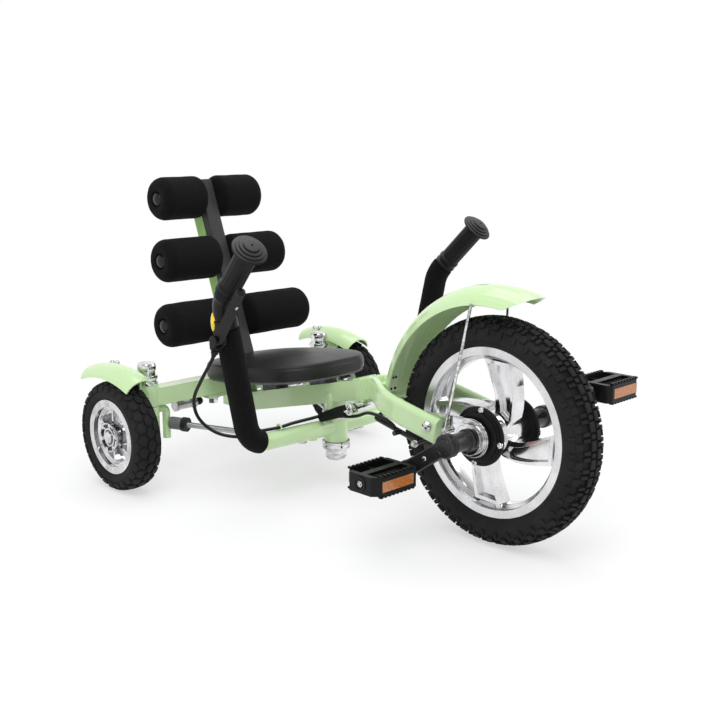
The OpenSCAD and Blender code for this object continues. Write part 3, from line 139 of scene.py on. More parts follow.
class TricycleColours(bpy.types.PropertyGroup):
    """Base colours of the finishes."""

    paint: colour("Frame paint", "Pale green gloss of the frame and fenders", (0.53, 0.72, 0.385))
    # Painted shade: the frame's pale green darkened for the backrest post, standing in for the shade on its
    # side.
    post: colour("Post paint", "Deeper green of the backrest post", (0.29, 0.53, 0.14))
    chrome: colour("Chrome", "Bright plate of the wheels and bearings", (0.80, 0.80, 0.81))
    zinc: colour("Zinc", "Plain plated steel of the rods", (0.50, 0.51, 0.53))
    foam: colour("Foam", "Skin of the foam rollers and sleeves", (0.0034, 0.0034, 0.0036))
    rubber: colour("Rubber", "Tread and sidewall of the tyres", (0.0115, 0.0115, 0.0118))
    grip: colour("Grip rubber", "Ribbed grips and the cable's sheath", (0.0046, 0.0046, 0.0047))
    plastic: colour("Black plastic", "Satin moulded pieces", (0.0058, 0.0058, 0.0061))
    cover: colour("Post cover", "Grey strip on the front of the backrest post", (0.034, 0.034, 0.035))
    smoke: colour("Dark plate", "Stop barrels under the rear beam", (0.42, 0.42, 0.43))
    dull: colour("Dull steel", "Plate under the seat", (0.13, 0.135, 0.14))
    seat: colour("Seat plastic", "Moulded shell of the seat", (0.0085, 0.0085, 0.0090))
    enamel: colour("Black enamel", "Cranks and brake arms", (0.012, 0.012, 0.0125))
    amber: colour("Amber", "Pedal reflectors", (0.48, 0.15, 0.026))
    lens: colour("Yellow lens", "Insert in the brake bracket", (0.95, 0.66, 0.012))
    floor: colour("Floor", "Pale studio floor", (0.86, 0.86, 0.86))


# Shader maths

def shade(base, factor):
    """A colour made lighter or darker."""
    return tuple(min(1.0, c * factor) for c in base)


class Socket:
    """An output of a shader node. Sums and products of sockets add Math nodes to its tree."""

    def __init__(self, tree, output=None):
        self.tree = tree
        self.output = output

    def node(self, kind, settings=None, sockets=None, out=0):
        """Adds a node, sets its settings, fills its sockets and returns one output."""
        new = self.tree.nodes.new(kind)
        for key, value in (settings or {}).items():
            setattr(new, key, value)
        for key, value in (sockets or {}).items():
            if isinstance(value, Socket):
                self.tree.links.new(value.output, new.inputs[key])
            else:
                new.inputs[key].default_value = value
        return Socket(self.tree, new.outputs[out])

    def math(self, operation, *others):
        """Result of a Math node with this socket as its first value."""
        return self.node("ShaderNodeMath", {"operation": operation}, dict(enumerate((self, *others))))

    def vector(self, operation, *others, out=0):
        """Result of a Vector Math node with this socket as its first value."""
        return self.node(
            "ShaderNodeVectorMath", {"operation": operation}, dict(enumerate((self, *others))), out)

    def __add__(self, other):
        return self.math("ADD", other)

    def __rsub__(self, other):
        return self.node("ShaderNodeMath", {"operation": "SUBTRACT"}, {0: other, 1: self})

    def __mul__(self, other):
        return self.math("MULTIPLY", other)

    __radd__ = __add__
    __rmul__ = __mul__

    def step(self, low, high):
        """0 below low, 1 above high and a smooth rise between."""
        return self.node("ShaderNodeMapRange", {"interpolation_type": "SMOOTHSTEP"},
                         {"Value": self, "From Min": low, "From Max": high})

    def dot(self, direction):
        """Length of a vector socket along a direction."""
        return self.vector("DOT_PRODUCT", direction, out="Value")

    def moved(self, offset):
        """A vector socket with an offset added."""
        return self.vector("ADD", offset)

    def scaled(self, factors):
        """A vector socket stretched along each axis."""
        return self.vector("MULTIPLY", factors)

    def length(self):
        """Length of a vector socket."""
        return self.vector("LENGTH", out="Value")

    def from_axle(self, axle):
        """Distance of a place from a cross axle."""
        return self.moved([-v for v in axle]).scaled((0, 1, 1)).length()

    def noise(self, scale, detail=2.0, roughness=0.5):
        """Soft noise from 0 to 1 over a vector socket."""
        return self.node("ShaderNodeTexNoise", None,
                         {"Vector": self, "Scale": scale, "Detail": detail, "Roughness": roughness})

    def cells(self, scale):
        """Distance to the nearest of scattered points over a vector socket."""
        return self.node("ShaderNodeTexVoronoi", None, {"Vector": self, "Scale": scale}, "Distance")

    def mixed(self, first, second):
        """Colour between two colours, with this socket as the share of the second."""
        first, second = (c if isinstance(c, Socket) else (*c, 1) for c in (first, second))
        return self.node("ShaderNodeMix", {"data_type": "RGBA"}, {0: self, 6: first, 7: second}, 2)

    def toned(self, c, first, last, low=0.3, high=0.7):
        """A colour times a first factor below low, rising to a last factor above high."""
        return self.step(low, high).mixed(shade(c, first), shade(c, last))

    def seen(self):
        """1 for rays from the camera, off mirrors and through glass, and 0 for light on surfaces."""
        rays = [self.node("ShaderNodeLightPath", out=name)
                for name in ("Is Camera Ray", "Is Glossy Ray", "Is Transmission Ray")]
        return rays[0].math("MAXIMUM", rays[1]).math("MAXIMUM", rays[2])


class Finish:
    """A new material with its surface shader and the place in the row frame as its coordinates."""

    def __init__(self, name):
        self.material = bpy.data.materials.new(name)
        self.material.use_nodes = True
        self.tree = self.material.node_tree
        self.shader = self.tree.nodes["Principled BSDF"]
        self.place = Socket(self.tree).node("ShaderNodeTexCoord", out="Object")

    def set(self, **values):
        """Sets or links the shader's sockets, named with underscores for spaces."""
        for key, value in values.items():
            socket = self.shader.inputs[key.replace("_", " ")]
            if isinstance(value, Socket):
                self.tree.links.new(value.output, socket)
            elif isinstance(socket.default_value, (int, float)):
                socket.default_value = value
            else:
                socket.default_value = (*value, 1) if len(value) == 3 else value
        return self

    def bump(self, height, distance, strength=1.0):
        """Raises the surface by a height socket, over a distance in metres, and returns the material."""
        self.set(Normal=self.place.node(
            "ShaderNodeBump", None, {"Strength": strength, "Distance": distance, "Height": height}))
        return self.material


# Finishes

FINISHES = {}

# Plain finishes by key: material, colour, (noise, first and last factor, limits) of the tone,
# (least, spread, noise) of the roughness, (noise or cells, depth, strength) of the relief, and constants
PLAIN = {
    "paint": ("pale_green_gloss", "paint", ((9, 3), 0.97, 1.03), (0.26, 0.1, (60, 4)),
              ((420, 1), 0.00008, 0.35), {"Coat_Weight": 0.7, "Coat_Roughness": 0.08}),
    # Painted shade: the post's gloss uses the frame paint darkened.
    "post": ("deep_green_gloss", "post", ((9, 3), 0.97, 1.03), (0.26, 0.1, (60, 4)),
             ((420, 1), 0.00008, 0.35),
             {"Coat_Weight": 0.21, "Coat_Roughness": 0.08, "Specular_IOR_Level": 0.15}),
    "rubber": ("tyre_rubber", "rubber", ((28, 5), 0.8, 1.5, 0.3, 0.75), (0.58, 0.2, (28, 5)),
               ((700, 3), 0.00018, 0.5), {"Specular_IOR_Level": 0.17}),
    "plastic": ("black_plastic", "plastic", ((30, 3), 0.85, 1.2), (0.26, 0.14, (80, 4)),
                ((1500,), 0.0001, 0.4), {"Specular_IOR_Level": 0.18}),
    "cap": ("gloss_cap", "plastic", ((60, 3), 0.8, 1.2), (0.16, 0.1, (120, 4)),
            ((600, 2), 0.00008, 0.3), {"Specular_IOR_Level": 0.3}),
    "smoke": ("smoked_plate", "smoke", ((70, 4), 0.75, 1.25), (0.2, 0.12, (70, 4)), ((500, 2), 0.0001, 0.3),
              {"Metallic": 0.85, "Coat_Weight": 0.6, "Coat_Roughness": 0.08}),
    "dull": ("dull_steel", "dull", ((140, 5, 0.65), 0.75, 1.25), (0.5, 0.2, (140, 5, 0.65)),
             ((140, 5, 0.65), 0.0002, 0.4), {"Metallic": 0.6, "Specular_IOR_Level": 0.25}),
    "seat": ("seat_shell", "seat", ((14, 4), 0.85, 1.2), (0.33, 0.12, (38, 5)),
             ((620,), 0.0002, 0.35), {"Specular_IOR_Level": 0.30}),
    "enamel": ("black_metal", "enamel", ((25, 3), 0.85, 1.2), (0.2, 0.12, (55, 4)),
               ((300, 2), 0.0001, 0.4), {"Specular_IOR_Level": 0.42}),
    "lens": ("yellow_lens", "lens", ((120, 2), 0.9, 1.08), (0.22, 0.06, (200, 2)),
             ((500, 1), 0.0001, 0.3), {"Coat_Weight": 0.5, "Coat_Roughness": 0.1}),
}


def plain_finish(c, name, tone, rough, relief, constants):
    """Drifting tone, drifting shine and a fine relief, each over a pattern of its own."""
    f = Finish(name)
    (drift, *factors), (least, spread, haze), (pattern, depth, strength) = tone, rough, relief
    f.set(Base_Color=f.place.noise(*drift).toned(c, *factors),
          Roughness=least + spread * f.place.noise(*haze), **constants)
    height = f.place.noise(*pattern) if len(pattern) > 1 else f.place.cells(*pattern)
    return f.bump(height, depth, strength)


def chrome_finish(c):
    """Bright plate with faint hazing and painted reflections: dark streaks along Z stand in for dark
    surroundings mirrored in the plate.
    """
    f = Finish("bright_chrome")
    haze = f.place.noise(45, 5)
    # Painted reflection: noise stretched along Z darkens the colour in streaks, standing in for the studio
    # mirrored in chrome; the haze adds a random tone.
    painted_reflection_streak = f.place.scaled((60, 60, 260)).noise(1, 3)
    f.set(Base_Color=(0.5 * haze + 0.5 * painted_reflection_streak).toned(c, 0.42, 1, 0.36, 0.62), Metallic=1.0,
          Roughness=0.05 + 0.07 * haze)
    return f.bump(f.place.noise(90, 2), 0.00006, 0.25)


def zinc_finish(c):
    """Plated steel with fine drawn lines."""
    f = Finish("plated_steel")
    lines = f.place.scaled((40, 900, 900)).noise(1, 3)
    f.set(Base_Color=f.place.noise(70, 4).toned(c, 0.85, 1.1), Metallic=1.0, Roughness=0.24 + 0.16 * lines)
    return f.bump(lines, 0.00005, 0.3)


def foam_finish(c):
    """Closed-cell foam: fine pores, mottled tone and no shine."""
    f = Finish("black_foam")
    pores = f.place.cells(1150)
    mottle = f.place.noise(260, 5, 0.7)
    f.set(Base_Color=(mottle * 0.7 + pores * 0.5).toned(c, 0.55, 1.9, 0.35, 0.85),
          Roughness=0.86 + 0.1 * mottle, Specular_IOR_Level=0.09, Sheen_Weight=0.02, Sheen_Roughness=0.6)
    return f.bump(pores + 0.6 * mottle, 0.0005, 0.7)


def grip_finish(c):
    """Soft rubber with a fine matt skin, with a painted highlight: much paler where it faces up, standing in
    for light from above.
    """
    f = Finish("grip_rubber")
    grain = f.place.noise(900, 3)
    # Painted highlight: up-facing faces get a colour sixteen times paler, standing in for light falling from
    # above.
    painted_top_light = f.place.node("ShaderNodeNewGeometry", out="Normal").dot((0, 0, 1)).step(0.25, 0.95)
    f.set(Base_Color=painted_top_light.mixed(f.place.noise(40, 4).toned(c, 0.85, 1.25), shade(c, 16)),
          Roughness=0.40 + 0.14 * grain, Specular_IOR_Level=0.18)
    return f.bump(grain, 0.00012, 0.4)


def cover_finish(c):
    """Matt grey strip with a brushed grain along the post."""
    f = Finish("post_cover")
    grain = f.place.scaled((900, 300, 90)).noise(1, 3)
    f.set(Base_Color=(0.5 * grain + 0.5 * f.place.noise(24, 4)).toned(c, 0.8, 1.2),
          Roughness=0.48 + 0.14 * grain, Specular_IOR_Level=0.3)
    return f.bump(grain, 0.00015, 0.5)


def cast_finish(c):
    """Bright cast wheel: polished spokes and a speckled satin rim."""
    f = Finish("cast_wheel")
    rim = f.place.from_axle(FRONT_AXLE).step(0.1030, 0.1050)
    speck = f.place.noise(650, 4, 0.7)
    haze = f.place.noise(38, 5)
    f.set(Base_Color=(0.5 * speck + 0.5 * haze).toned(c, 0.80, 1.08, 0.35, 0.68), Metallic=1.0,
          Roughness=0.09 + 0.08 * haze + 0.17 * rim)
    return f.bump(0.4 * speck * rim + f.place.noise(70, 2), 0.0001, 0.35)


def clamp_finish(paint, c):
    """Boom clamp: painted strap round the beam over a bright barrel."""
    f = Finish("boom_clamp")
    strap = f.place.from_axle(CLAMP_AXIS).step(0.0074, 0.0078)
    f.set(Base_Color=strap.mixed(c, paint), Metallic=1 - strap,
          Roughness=0.06 + 0.08 * f.place.noise(45, 5) + 0.2 * strap, Coat_Weight=0.7 * strap)
    return f.bump(f.place.noise(300, 2), 0.00006, 0.3)


def amber_finish(c):
    """Reflector plastic with small pyramids behind a clear face."""
    f = Finish("amber_reflector")
    prisms = f.place.scaled((1, 1, 0.6)).cells(420)
    f.set(Base_Color=prisms.toned(c, 1.15, 0.8, 0.1, 0.6), Roughness=0.18 + 0.1 * prisms,
          Coat_Weight=0.8, Coat_Roughness=0.05)
    return f.bump(prisms, 0.0004, 0.35)


def wheel_finish(name, side, c, dark):
    """Chrome rear wheel with black rings on the hub's outer face."""
    f = Finish(name)
    out = f.place.moved([-v for v in on_side(REAR_AXLE, side)])
    radius = out.scaled((0, 1, 1)).length()
    angle = out.dot((0, 0, 1)).math("ARCTAN2", out.dot((0, 1, 0)))
    lobes = (angle * 6.0).math("SINE")
    face = out.dot((side, 0, 0)).step(0.0186, 0.0190)
    outer = radius.step(0.0143, 0.0147) * (1 - radius.step(0.0203, 0.0207)) * lobes.step(-0.62, -0.5)
    inner = radius.step(0.0093, 0.0097) * (1 - radius.step(0.0115, 0.0119))
    ring = face * (outer + inner)
    rim = radius.step(0.0480, 0.0490)
    speck = f.place.noise(650, 4, 0.7)
    haze = f.place.noise(50, 5)
    bright = (0.4 * speck + 0.6 * haze).toned(c, 0.55, 1, 0.35, 0.65)
    f.set(Base_Color=ring.mixed(bright, dark), Metallic=1 - ring,
          Roughness=0.07 + 0.07 * haze + 0.15 * rim + 0.3 * ring)
    return f.bump(0.4 * speck * rim + f.place.noise(90, 2), 0.00008, 0.3)


def rod_finish(name, side, c, dark):
    """Tie rod: grey boot and dark ring at its rear end, then threaded steel."""
    f = Finish(name)
    front, rear = Vector((0.050 * side, 0.0795, 0.082)), Vector((0.150 * side, 0.2945, 0.088))
    boot, ring_length, edge, pitch = 0.030, 0.0090, 0.0003, 5200.0
    along = f.place.moved([-v for v in rear]).dot((front - rear).normalized())
    bare = along.step(boot, boot + edge)
    ring = bare * (1 - along.step(boot + ring_length, boot + ring_length + 0.0004))
    sheath = 1 - bare
    soft = sheath + ring
    f.set(Base_Color=sheath.mixed(ring.mixed(c, shade(dark, 0.6)), (0.15, 0.15, 0.155)), Metallic=1 - soft,
          Roughness=0.22 + 0.35 * soft + 0.06 * f.place.noise(200, 3))
    return f.bump((along * pitch).math("SINE") * (1 - soft), 0.00025, 0.6)


def finish(name):
    """The material of that name."""
    if name not in FINISHES:
        raise RuntimeError(f"no finish named {name}")
    return FINISHES[name]


# Mesh helpers

def axes_along(origin, direction):
    """Matrix whose Z runs along direction from origin."""
    z = Vector(direction).normalized()
    x = Vector((0, 0, 1)).cross(z)
    if x.length < 1e-4:
        x = Vector((1, 0, 0)).cross(z)
    x.normalize()
    return Matrix.Translation(Vector(origin)) @ Matrix((x, z.cross(x), z)).transposed().to_4x4()


def stacked(rows, turns, closed=False):
    """Faces of rings of points one above the other, with shut ends or, if closed, with the ends joined."""
    faces = []
    for k in range(rows if closed else rows - 1):
        up = (k + 1) % rows
        for i in range(turns):
            j = (i + 1) % turns
            faces.append((k * turns + i, k * turns + j, up * turns + j, up * turns + i))
    if not closed:
        faces.append(tuple(reversed(range(turns))))
        faces.append(tuple(range((rows - 1) * turns, rows * turns)))
    return faces


def flipped(faces):
    """Faces that look the other way."""
    return [tuple(reversed(face)) for face in faces]


def lathe(profile, turns, place, ribs=None, closed=False):
    """Vertices and faces of a profile of (radius, height) turned about Z, then put at a matrix.

    ribs takes an angle and a profile index and returns a change of radius. A closed profile makes a ring."""
    verts = []
    for k, (r, h) in enumerate(profile):
        for i in range(turns):
            a = 2 * math.pi * i / turns
            rr = r + (ribs(a, k) if ribs else 0.0)
            verts.append(place @ Vector((rr * math.cos(a), rr * math.sin(a), h)))
    return verts, stacked(len(profile), turns, closed)


def arc(centre, radius, start, end, steps):
    """Points on an arc of a profile or outline, with angles in degrees."""
    angles = [math.radians(start + (end - start) * k / steps) for k in range(steps + 1)]
    return [(centre[0] + radius * math.cos(a), centre[1] + radius * math.sin(a)) for a in angles]


def run(first, last, steps):
    """Points between two profile points, without the ends."""
    return [(first[0] + (last[0] - first[0]) * k / steps, first[1] + (last[1] - first[1]) * k / steps)
            for k in range(1, steps)]


def tube(path, radii, sides):
    """Vertices and faces of a round tube along a path, with a radius at each point."""
    last = len(path) - 1
    tangents = [(path[min(i + 1, last)] - path[max(i - 1, 0)]).normalized() for i in range(last + 1)]
    side = Vector((0, 0, 1)) - tangents[0] * tangents[0].z
    if side.length < 1e-3:
        side = Vector((0, 1, 0)) - tangents[0] * tangents[0].y
    side.normalize()
    verts = []
    for p, t, r in zip(path, tangents, radii):
        side = (side - t * side.dot(t)).normalized()
        across = t.cross(side)
        for i in range(sides):
            a = 2 * math.pi * i / sides
            verts.append(p + (side * math.cos(a) + across * math.sin(a)) * r)
    return verts, stacked(len(path), sides)


def slab(outline, near, far):
    """A plate with the given outline of points, between two distances along X."""
    n = len(outline)
    verts = [p + Vector((x, 0, 0)) for x in (near, far) for p in outline]
    turned = sum((outline[i].cross(outline[(i + 1) % n]) for i in range(n)), Vector()).x * (far - near)
    return verts, stacked(2, n) if turned > 0 else flipped(stacked(2, n))


def around(*circles):
    """Outline round circles (y, z, radius) of the plane X = 0."""
    points = [p for y, z, r in circles for p in arc((y, z), r, 0, 345, 23)]
    return [Vector((0, *points[i])) for i in geometry.convex_hull_2d(points)]


def brick(first, second):
    """Box between two opposite corners."""
    low, high = zip(*(sorted(pair) for pair in zip(first, second)))
    corners = [(x, y, z) for z in (low[2], high[2]) for y in (low[1], high[1]) for x in (low[0], high[0])]
    return ([Vector(c) for c in corners],
            [(0, 2, 3, 1), (4, 5, 7, 6), (0, 1, 5, 4), (2, 6, 7, 3), (0, 4, 6, 2), (1, 3, 7, 5)])


def bolt_head(d, h):
    """Profile of a button head with a socket in its top."""
    r = d / 2
    return ([(r, -0.0005), (r, h * 0.25)] + arc((r * 0.55, h * 0.25), r * 0.45, 0, 80, 5)
            + [(r * 0.5, h * 0.72), (r * 0.42, h * 0.7), (r * 0.38, h * 0.3), (r * 0.05, h * 0.3)])


def cap(r, foot, h, first, step):
    """Profile of a rounded top from a foot to a height above it, by angles in degrees."""
    angles = [math.radians(a) for a in range(first, 90, step)]
    return [(r * math.cos(a), foot + h * math.sin(a)) for a in angles]


def dome(d, h):
    """Profile of a domed head."""
    r = d / 2
    return [(r, -0.0005), (r, h * 0.2)] + cap(r, h * 0.2, h * 0.8, 15, 12) + [(r * 0.03, h)]


def acorn(d, h):
    """Profile of a flanged acorn nut."""
    r = d / 2
    return ([(r * 1.25, -0.0005), (r * 1.25, h * 0.12), (r, h * 0.18), (r, h * 0.5)]
            + cap(r * 0.86, h * 0.5, h * 0.5, 0, 15) + [(r * 0.03, h)])


def joined(*shapes):
    """Several (vertices, faces) as one."""
    verts, faces = [], []
    for v, f in shapes:
        start = len(verts)
        verts.extend(v)
        faces.extend(tuple(i + start for i in face) for face in f)
    return verts, faces


def spline(points, steps):
    """Smooth curve through points."""
    p = [Vector(q) for q in points]
    out = []
    for i in range(len(p) - 1):
        a, b, c, d = p[max(i - 1, 0)], p[i], p[i + 1], p[min(i + 2, len(p) - 1)]
        for k in range(steps):
            t = k / steps
            out.append((2 * b + (c - a) * t + (2 * a - 5 * b + 4 * c - d) * t * t
                        + (3 * b - 3 * c + d - a) * t ** 3) / 2)
    return out + [p[-1]]


def rounded_route(p, radius, steps):
    """Straight runs between points with round bends of that radius at the corners."""
    out = [p[0]]
    for a, b, c in zip(p, p[1:], p[2:]):
        u, v = (a - b).normalized(), (c - b).normalized()
        half = u.angle(v) / 2
        reach = radius / math.tan(half)
        middle = b + (u + v).normalized() * (radius / math.sin(half))
        first, last = b + u * reach - middle, b + v * reach - middle
        axis, swing = first.cross(last).normalized(), first.angle(last)
        out += [middle + Matrix.Rotation(swing * k / steps, 3, axis) @ first for k in range(steps + 1)]
    return out + [p[-1]]


def dense(path, gap):
    """A path with points about a gap apart."""
    out = [path[0]]
    for a, b in zip(path, path[1:]):
        n = max(1, int((b - a).length / gap))
        out.extend(a + (b - a) * k / n for k in range(1, n + 1))
    return out


def trimmed(path, left):
    """A path cut back from its start by a length."""
    p = list(path)
    while len(p) > 2 and (p[1] - p[0]).length < left:
        left -= (p[1] - p[0]).length
        p.pop(0)
    p[0] = p[0] + (p[1] - p[0]).normalized() * left
    return p


class Meridian:
    """Outline of a tyre across its width, followed by its length from the crown."""

    def __init__(self, crown, bead, half_w, fullness):
        middle = bead + (crown - bead) * 0.45
        foot = math.degrees(math.asin(((middle - bead) / (crown - middle)) ** (1 / fullness)))
        steps = 160
        self.crown = crown
        self.points = []
        for k in range(steps + 1):
            a = math.radians(90 - (90 + foot) * k / steps)
            s, c = math.sin(a), math.cos(a)
            self.points.append(Vector((middle + (crown - middle) * math.copysign(abs(s) ** fullness, s),
                                       half_w * abs(c) ** fullness)))
        self.lengths = [0.0]
        for a, b in zip(self.points, self.points[1:]):
            self.lengths.append(self.lengths[-1] + (b - a).length)

    def at(self, length):
        """Point (radius, height) and outward normal at a length from the crown, negative on the right."""
        k = min(max(bisect.bisect_left(self.lengths, abs(length)), 1), len(self.points) - 1)
        a, b = self.points[k - 1], self.points[k]
        share = (abs(length) - self.lengths[k - 1]) / (self.lengths[k] - self.lengths[k - 1])
        point, along = a + (b - a) * share, (b - a).normalized()
        side = -1 if length < 0 else 1
        return Vector((point.x, point.y * side)), Vector((along.y, -along.x * side))

    def carcass(self, rib, height, steps, turns, place):
        """Closed ring over the outline, raised between two lengths, whose inner face seats on the rim."""
        profile = []
        for k in range(-steps, steps + 1):
            length = self.lengths[-1] * k / steps
            point, normal = self.at(length)
            profile.append(point + normal * (height if rib[0] < abs(length) < rib[1] else 0.0))
        return lathe(profile, turns, place, closed=True)

    def blocks(self, rows, place):
        """Closed tread blocks. A row is its length from the crown, its repeats, its phase, a block's corners
        and its height."""
        root, chamfer, top = -0.0015, 0.0007, 0.84
        shapes = []
        for middle, repeats, phase, corners, height in rows:
            for k in range(repeats):
                verts = []
                for lift, share in ((root, 1.0), (height - chamfer, 1.0), (height, top)):
                    for u, v in corners:
                        point, normal = self.at(middle + v * share)
                        a = 2 * math.pi * (k + phase) / repeats + u * share / self.crown
                        r, h = point + normal * lift
                        verts.append(place @ Vector((r * math.cos(a), r * math.sin(a), h)))
                shapes.append((verts, stacked(3, len(corners))))
        return joined(*shapes)


# Objects

def placed(name, data):
    """A new object in the scene."""
    obj = bpy.data.objects.new(name, data)
    bpy.context.scene.collection.objects.link(obj)
    return obj


def piece(name, shape, body, material):
    """A new object in the row frame that rides on a body."""
    mesh = bpy.data.meshes.new(name)
    mesh.from_pydata([tuple(v) for v in shape[0]], [], shape[1])
    mesh.validate()
    mesh.update()
    mesh.polygons.foreach_set("use_smooth", [True] * len(mesh.polygons))
    mesh.materials.append(finish(material))
    obj = placed(name, mesh)
    if body:
        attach(obj, body)
    return obj


def sharp(obj, degrees=40):
    """Keeps edges sharper than an angle crisp."""
    obj.data.set_sharp_from_angle(angle=math.radians(degrees))
    return obj


def bevelled(obj, width, segments=2):
    """Rounds the sharp edges of an object by a modifier."""
    obj.modifiers.new("weld", "WELD").merge_threshold = 1e-6
    bevel = obj.modifiers.new("bevel", "BEVEL")
    bevel.width = width
    bevel.segments = segments
    bevel.limit_method = "ANGLE"
    bevel.angle_limit = math.radians(38)
    bevel.use_clamp_overlap = True
    return obj


def seat_on(node, start, direction):
    """Point and outward normal where a ray first meets a node of the frame."""
    hit, point, normal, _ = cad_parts[node].ray_cast(Vector(start), Vector(direction))
    if not hit:
        raise RuntimeError(f"no surface of {node} ahead of {start}")
    return point, normal


# Operators

class TRICYCLE_OT_stage(bpy.types.Operator):
    """Sets the camera, the floor, the lamps and the pale surroundings"""

    bl_idname = "tricycle.stage"
    bl_label = "Studio"

    def execute(self, context):
        scene = context.scene
        scene.view_settings.view_transform = "Standard"
        camera = placed("camera", bpy.data.cameras.new("camera"))
        axes = Matrix((CAMERA_RIGHT, CAMERA_UP, -CAMERA_AHEAD)).transposed().to_4x4()
        camera.matrix_world = Matrix.Translation(CAMERA) @ axes
        camera.data.lens = 53.27
        camera.data.sensor_width = 36
        camera.data.clip_end = 200
        scene.camera = camera

        world = bpy.data.worlds.new("studio")
        scene.world = world
        world.use_nodes = True
        tree = world.node_tree
        tree.nodes.clear()
        start = Socket(tree)
        height = start.node("ShaderNodeTexCoord", out="Generated").dot((0, 0, 1))
        soft = height.step(-0.2, 0.7).mixed((0.60, 0.60, 0.61), (0.86, 0.87, 0.89))
        pale = height.step(0.35, 0.8).mixed((1, 1, 1), (0.36, 0.36, 0.37))
        tone = start.seen().mixed(soft, pale)
        back = start.node("ShaderNodeBackground", None, {"Color": tone, "Strength": 1.0})
        tree.links.new(back.output, tree.nodes.new("ShaderNodeOutputWorld").inputs["Surface"])

        half = 40
        mesh = bpy.data.meshes.new("floor")
        corners = [(-half, -half, 0), (half, -half, 0), (half, half, 0), (-half, half, 0)]
        mesh.from_pydata(corners, [], [(0, 1, 2, 3)])
        floor = placed("floor", mesh)
        f = Finish("pale_floor")
        f.set(Base_Color=scene.tricycle_colours.floor, Roughness=0.7, Specular_IOR_Level=0.1)
        far = f.place.scaled((1, 1, 0)).length().step(0.5, 1.3)
        bright = f.place.node("ShaderNodeEmission", None, {"Color": (1, 1, 1, 1), "Strength": 1.0})
        blend = f.place.node("ShaderNodeMixShader", None, {
            0: f.place.seen() * (0.55 + 0.45 * far), 1: Socket(f.tree, f.shader.outputs[0]), 2: bright})
        f.tree.links.new(blend.output, f.tree.nodes["Material Output"].inputs["Surface"])
        mesh.materials.append(f.material)

        for name, at, aim, width, power in (
                ("key", (-1.1, -0.9, 2.2), (0, 0, 0.15), 1.6, 23),
                ("top", (0.3, 0.4, 2.4), (0, 0, 0.1), 2.0, 17),
                ("side", (1.9, -1.2, 1.2), (0, 0, 0.2), 1.2, 8)):
            lamp = bpy.data.lights.new(name, "AREA")
            lamp.shape = "DISK"
            lamp.size = width
            lamp.energy = power
            obj = placed(name, lamp)
            obj.location = at
            obj.rotation_euler = (Vector(aim) - Vector(at)).to_track_quat("-Z", "Y").to_euler()
        return {"FINISHED"}


class TRICYCLE_OT_finishes(bpy.types.Operator):
    """Makes the finishes and puts them on the frame's own nodes"""

    bl_idname = "tricycle.finishes"
    bl_label = "Finishes"

    def execute(self, context):
        colours = context.scene.tricycle_colours
        c = {key: tuple(getattr(colours, key)) for key in TricycleColours.__annotations__}
        FINISHES.clear()
        for key, (name, base, *rest) in PLAIN.items():
            FINISHES[key] = plain_finish(c[base], name, *rest)
        for key, make in (("chrome", chrome_finish), ("zinc", zinc_finish), ("foam", foam_finish),
                          ("grip", grip_finish), ("amber", amber_finish), ("cover", cover_finish)):
            FINISHES[key] = make(c[key])
        FINISHES["cast"] = cast_finish(c["chrome"])
        FINISHES["clamp"] = clamp_finish(c["paint"], c["chrome"])
        for name, s in SIDES.items():
            FINISHES["wheel_" + name] = wheel_finish("chrome_wheel_" + name, s, c["chrome"], c["plastic"])
            FINISHES["rod_" + name] = rod_finish("track_rod_" + name, s, c["zinc"], c["plastic"])
        dress = {
            "post": "back_post",
            "paint": "main_beam rear_beam rear_mount fork_yoke fork_blade_right fork_blade_left "
                     "front_fender crossbar knuckle_right knuckle_left rear_fender_right rear_fender_left",
            "chrome": "axle_brackets rear_nuts kingpin_bearings headset_cups clamp_lever bearing_cups "
                      "fork_bolts fender_stays",
            "cast": "front_wheel", "clamp": "clamp_collar", "smoke": "axle_stops", "dull": "seat_plate",
            "cover": "back_cover", "cap": "roller_caps",
            "zinc": "roller_rods steering_post front_axle",
            "foam": "rollers_low rollers_middle rollers_top sleeve_right sleeve_left",
            "rubber": "front_tyre rear_tyre_right rear_tyre_left",
            "grip": "grip_right grip_left brake_cable_front brake_cable_middle brake_cable_rear",
            "plastic": "clamp_handle hub_flanges pedal_right pedal_left brake_bracket brake_lever",
            "seat": "seat",
            "enamel": "caliper_arm_right caliper_arm_left crank_right crank_left",
            "amber": "reflectors_right reflectors_left",
            "wheel_right": "rear_wheel_right", "wheel_left": "rear_wheel_left",
            "rod_right": "tie_rod_right", "rod_left": "tie_rod_left",
        }
        undressed = set(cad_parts)
        for key, names in dress.items():
            for name in names.split():
                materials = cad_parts[name].data.materials
                materials.clear()
                materials.append(finish(key))
                undressed.discard(name)
        if undressed:
            raise RuntimeError(f"nodes without a finish: {sorted(undressed)}")
        return {"FINISHED"}


class TRICYCLE_OT_edges(bpy.types.Operator):
    """Rounds the sharp edges of the frame's tubes, castings and mouldings"""

    bl_idname = "tricycle.edges"
    bl_label = "Rounded edges"

    def execute(self, context):
        for width, names in (
                (0.0026, "main_beam rear_beam back_post"),
                (0.0014, "fork_yoke back_cover brake_lever clamp_handle hub_flanges"),
                (0.0010, "front_wheel pedal_right pedal_left rear_mount"),
                (0.0006, "clamp_collar bearing_cups rear_nuts kingpin_bearings headset_cups axle_stops "
                         "seat_plate")):
            for name in names.split():
                bevelled(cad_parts[name], width)
        return {"FINISHED"}


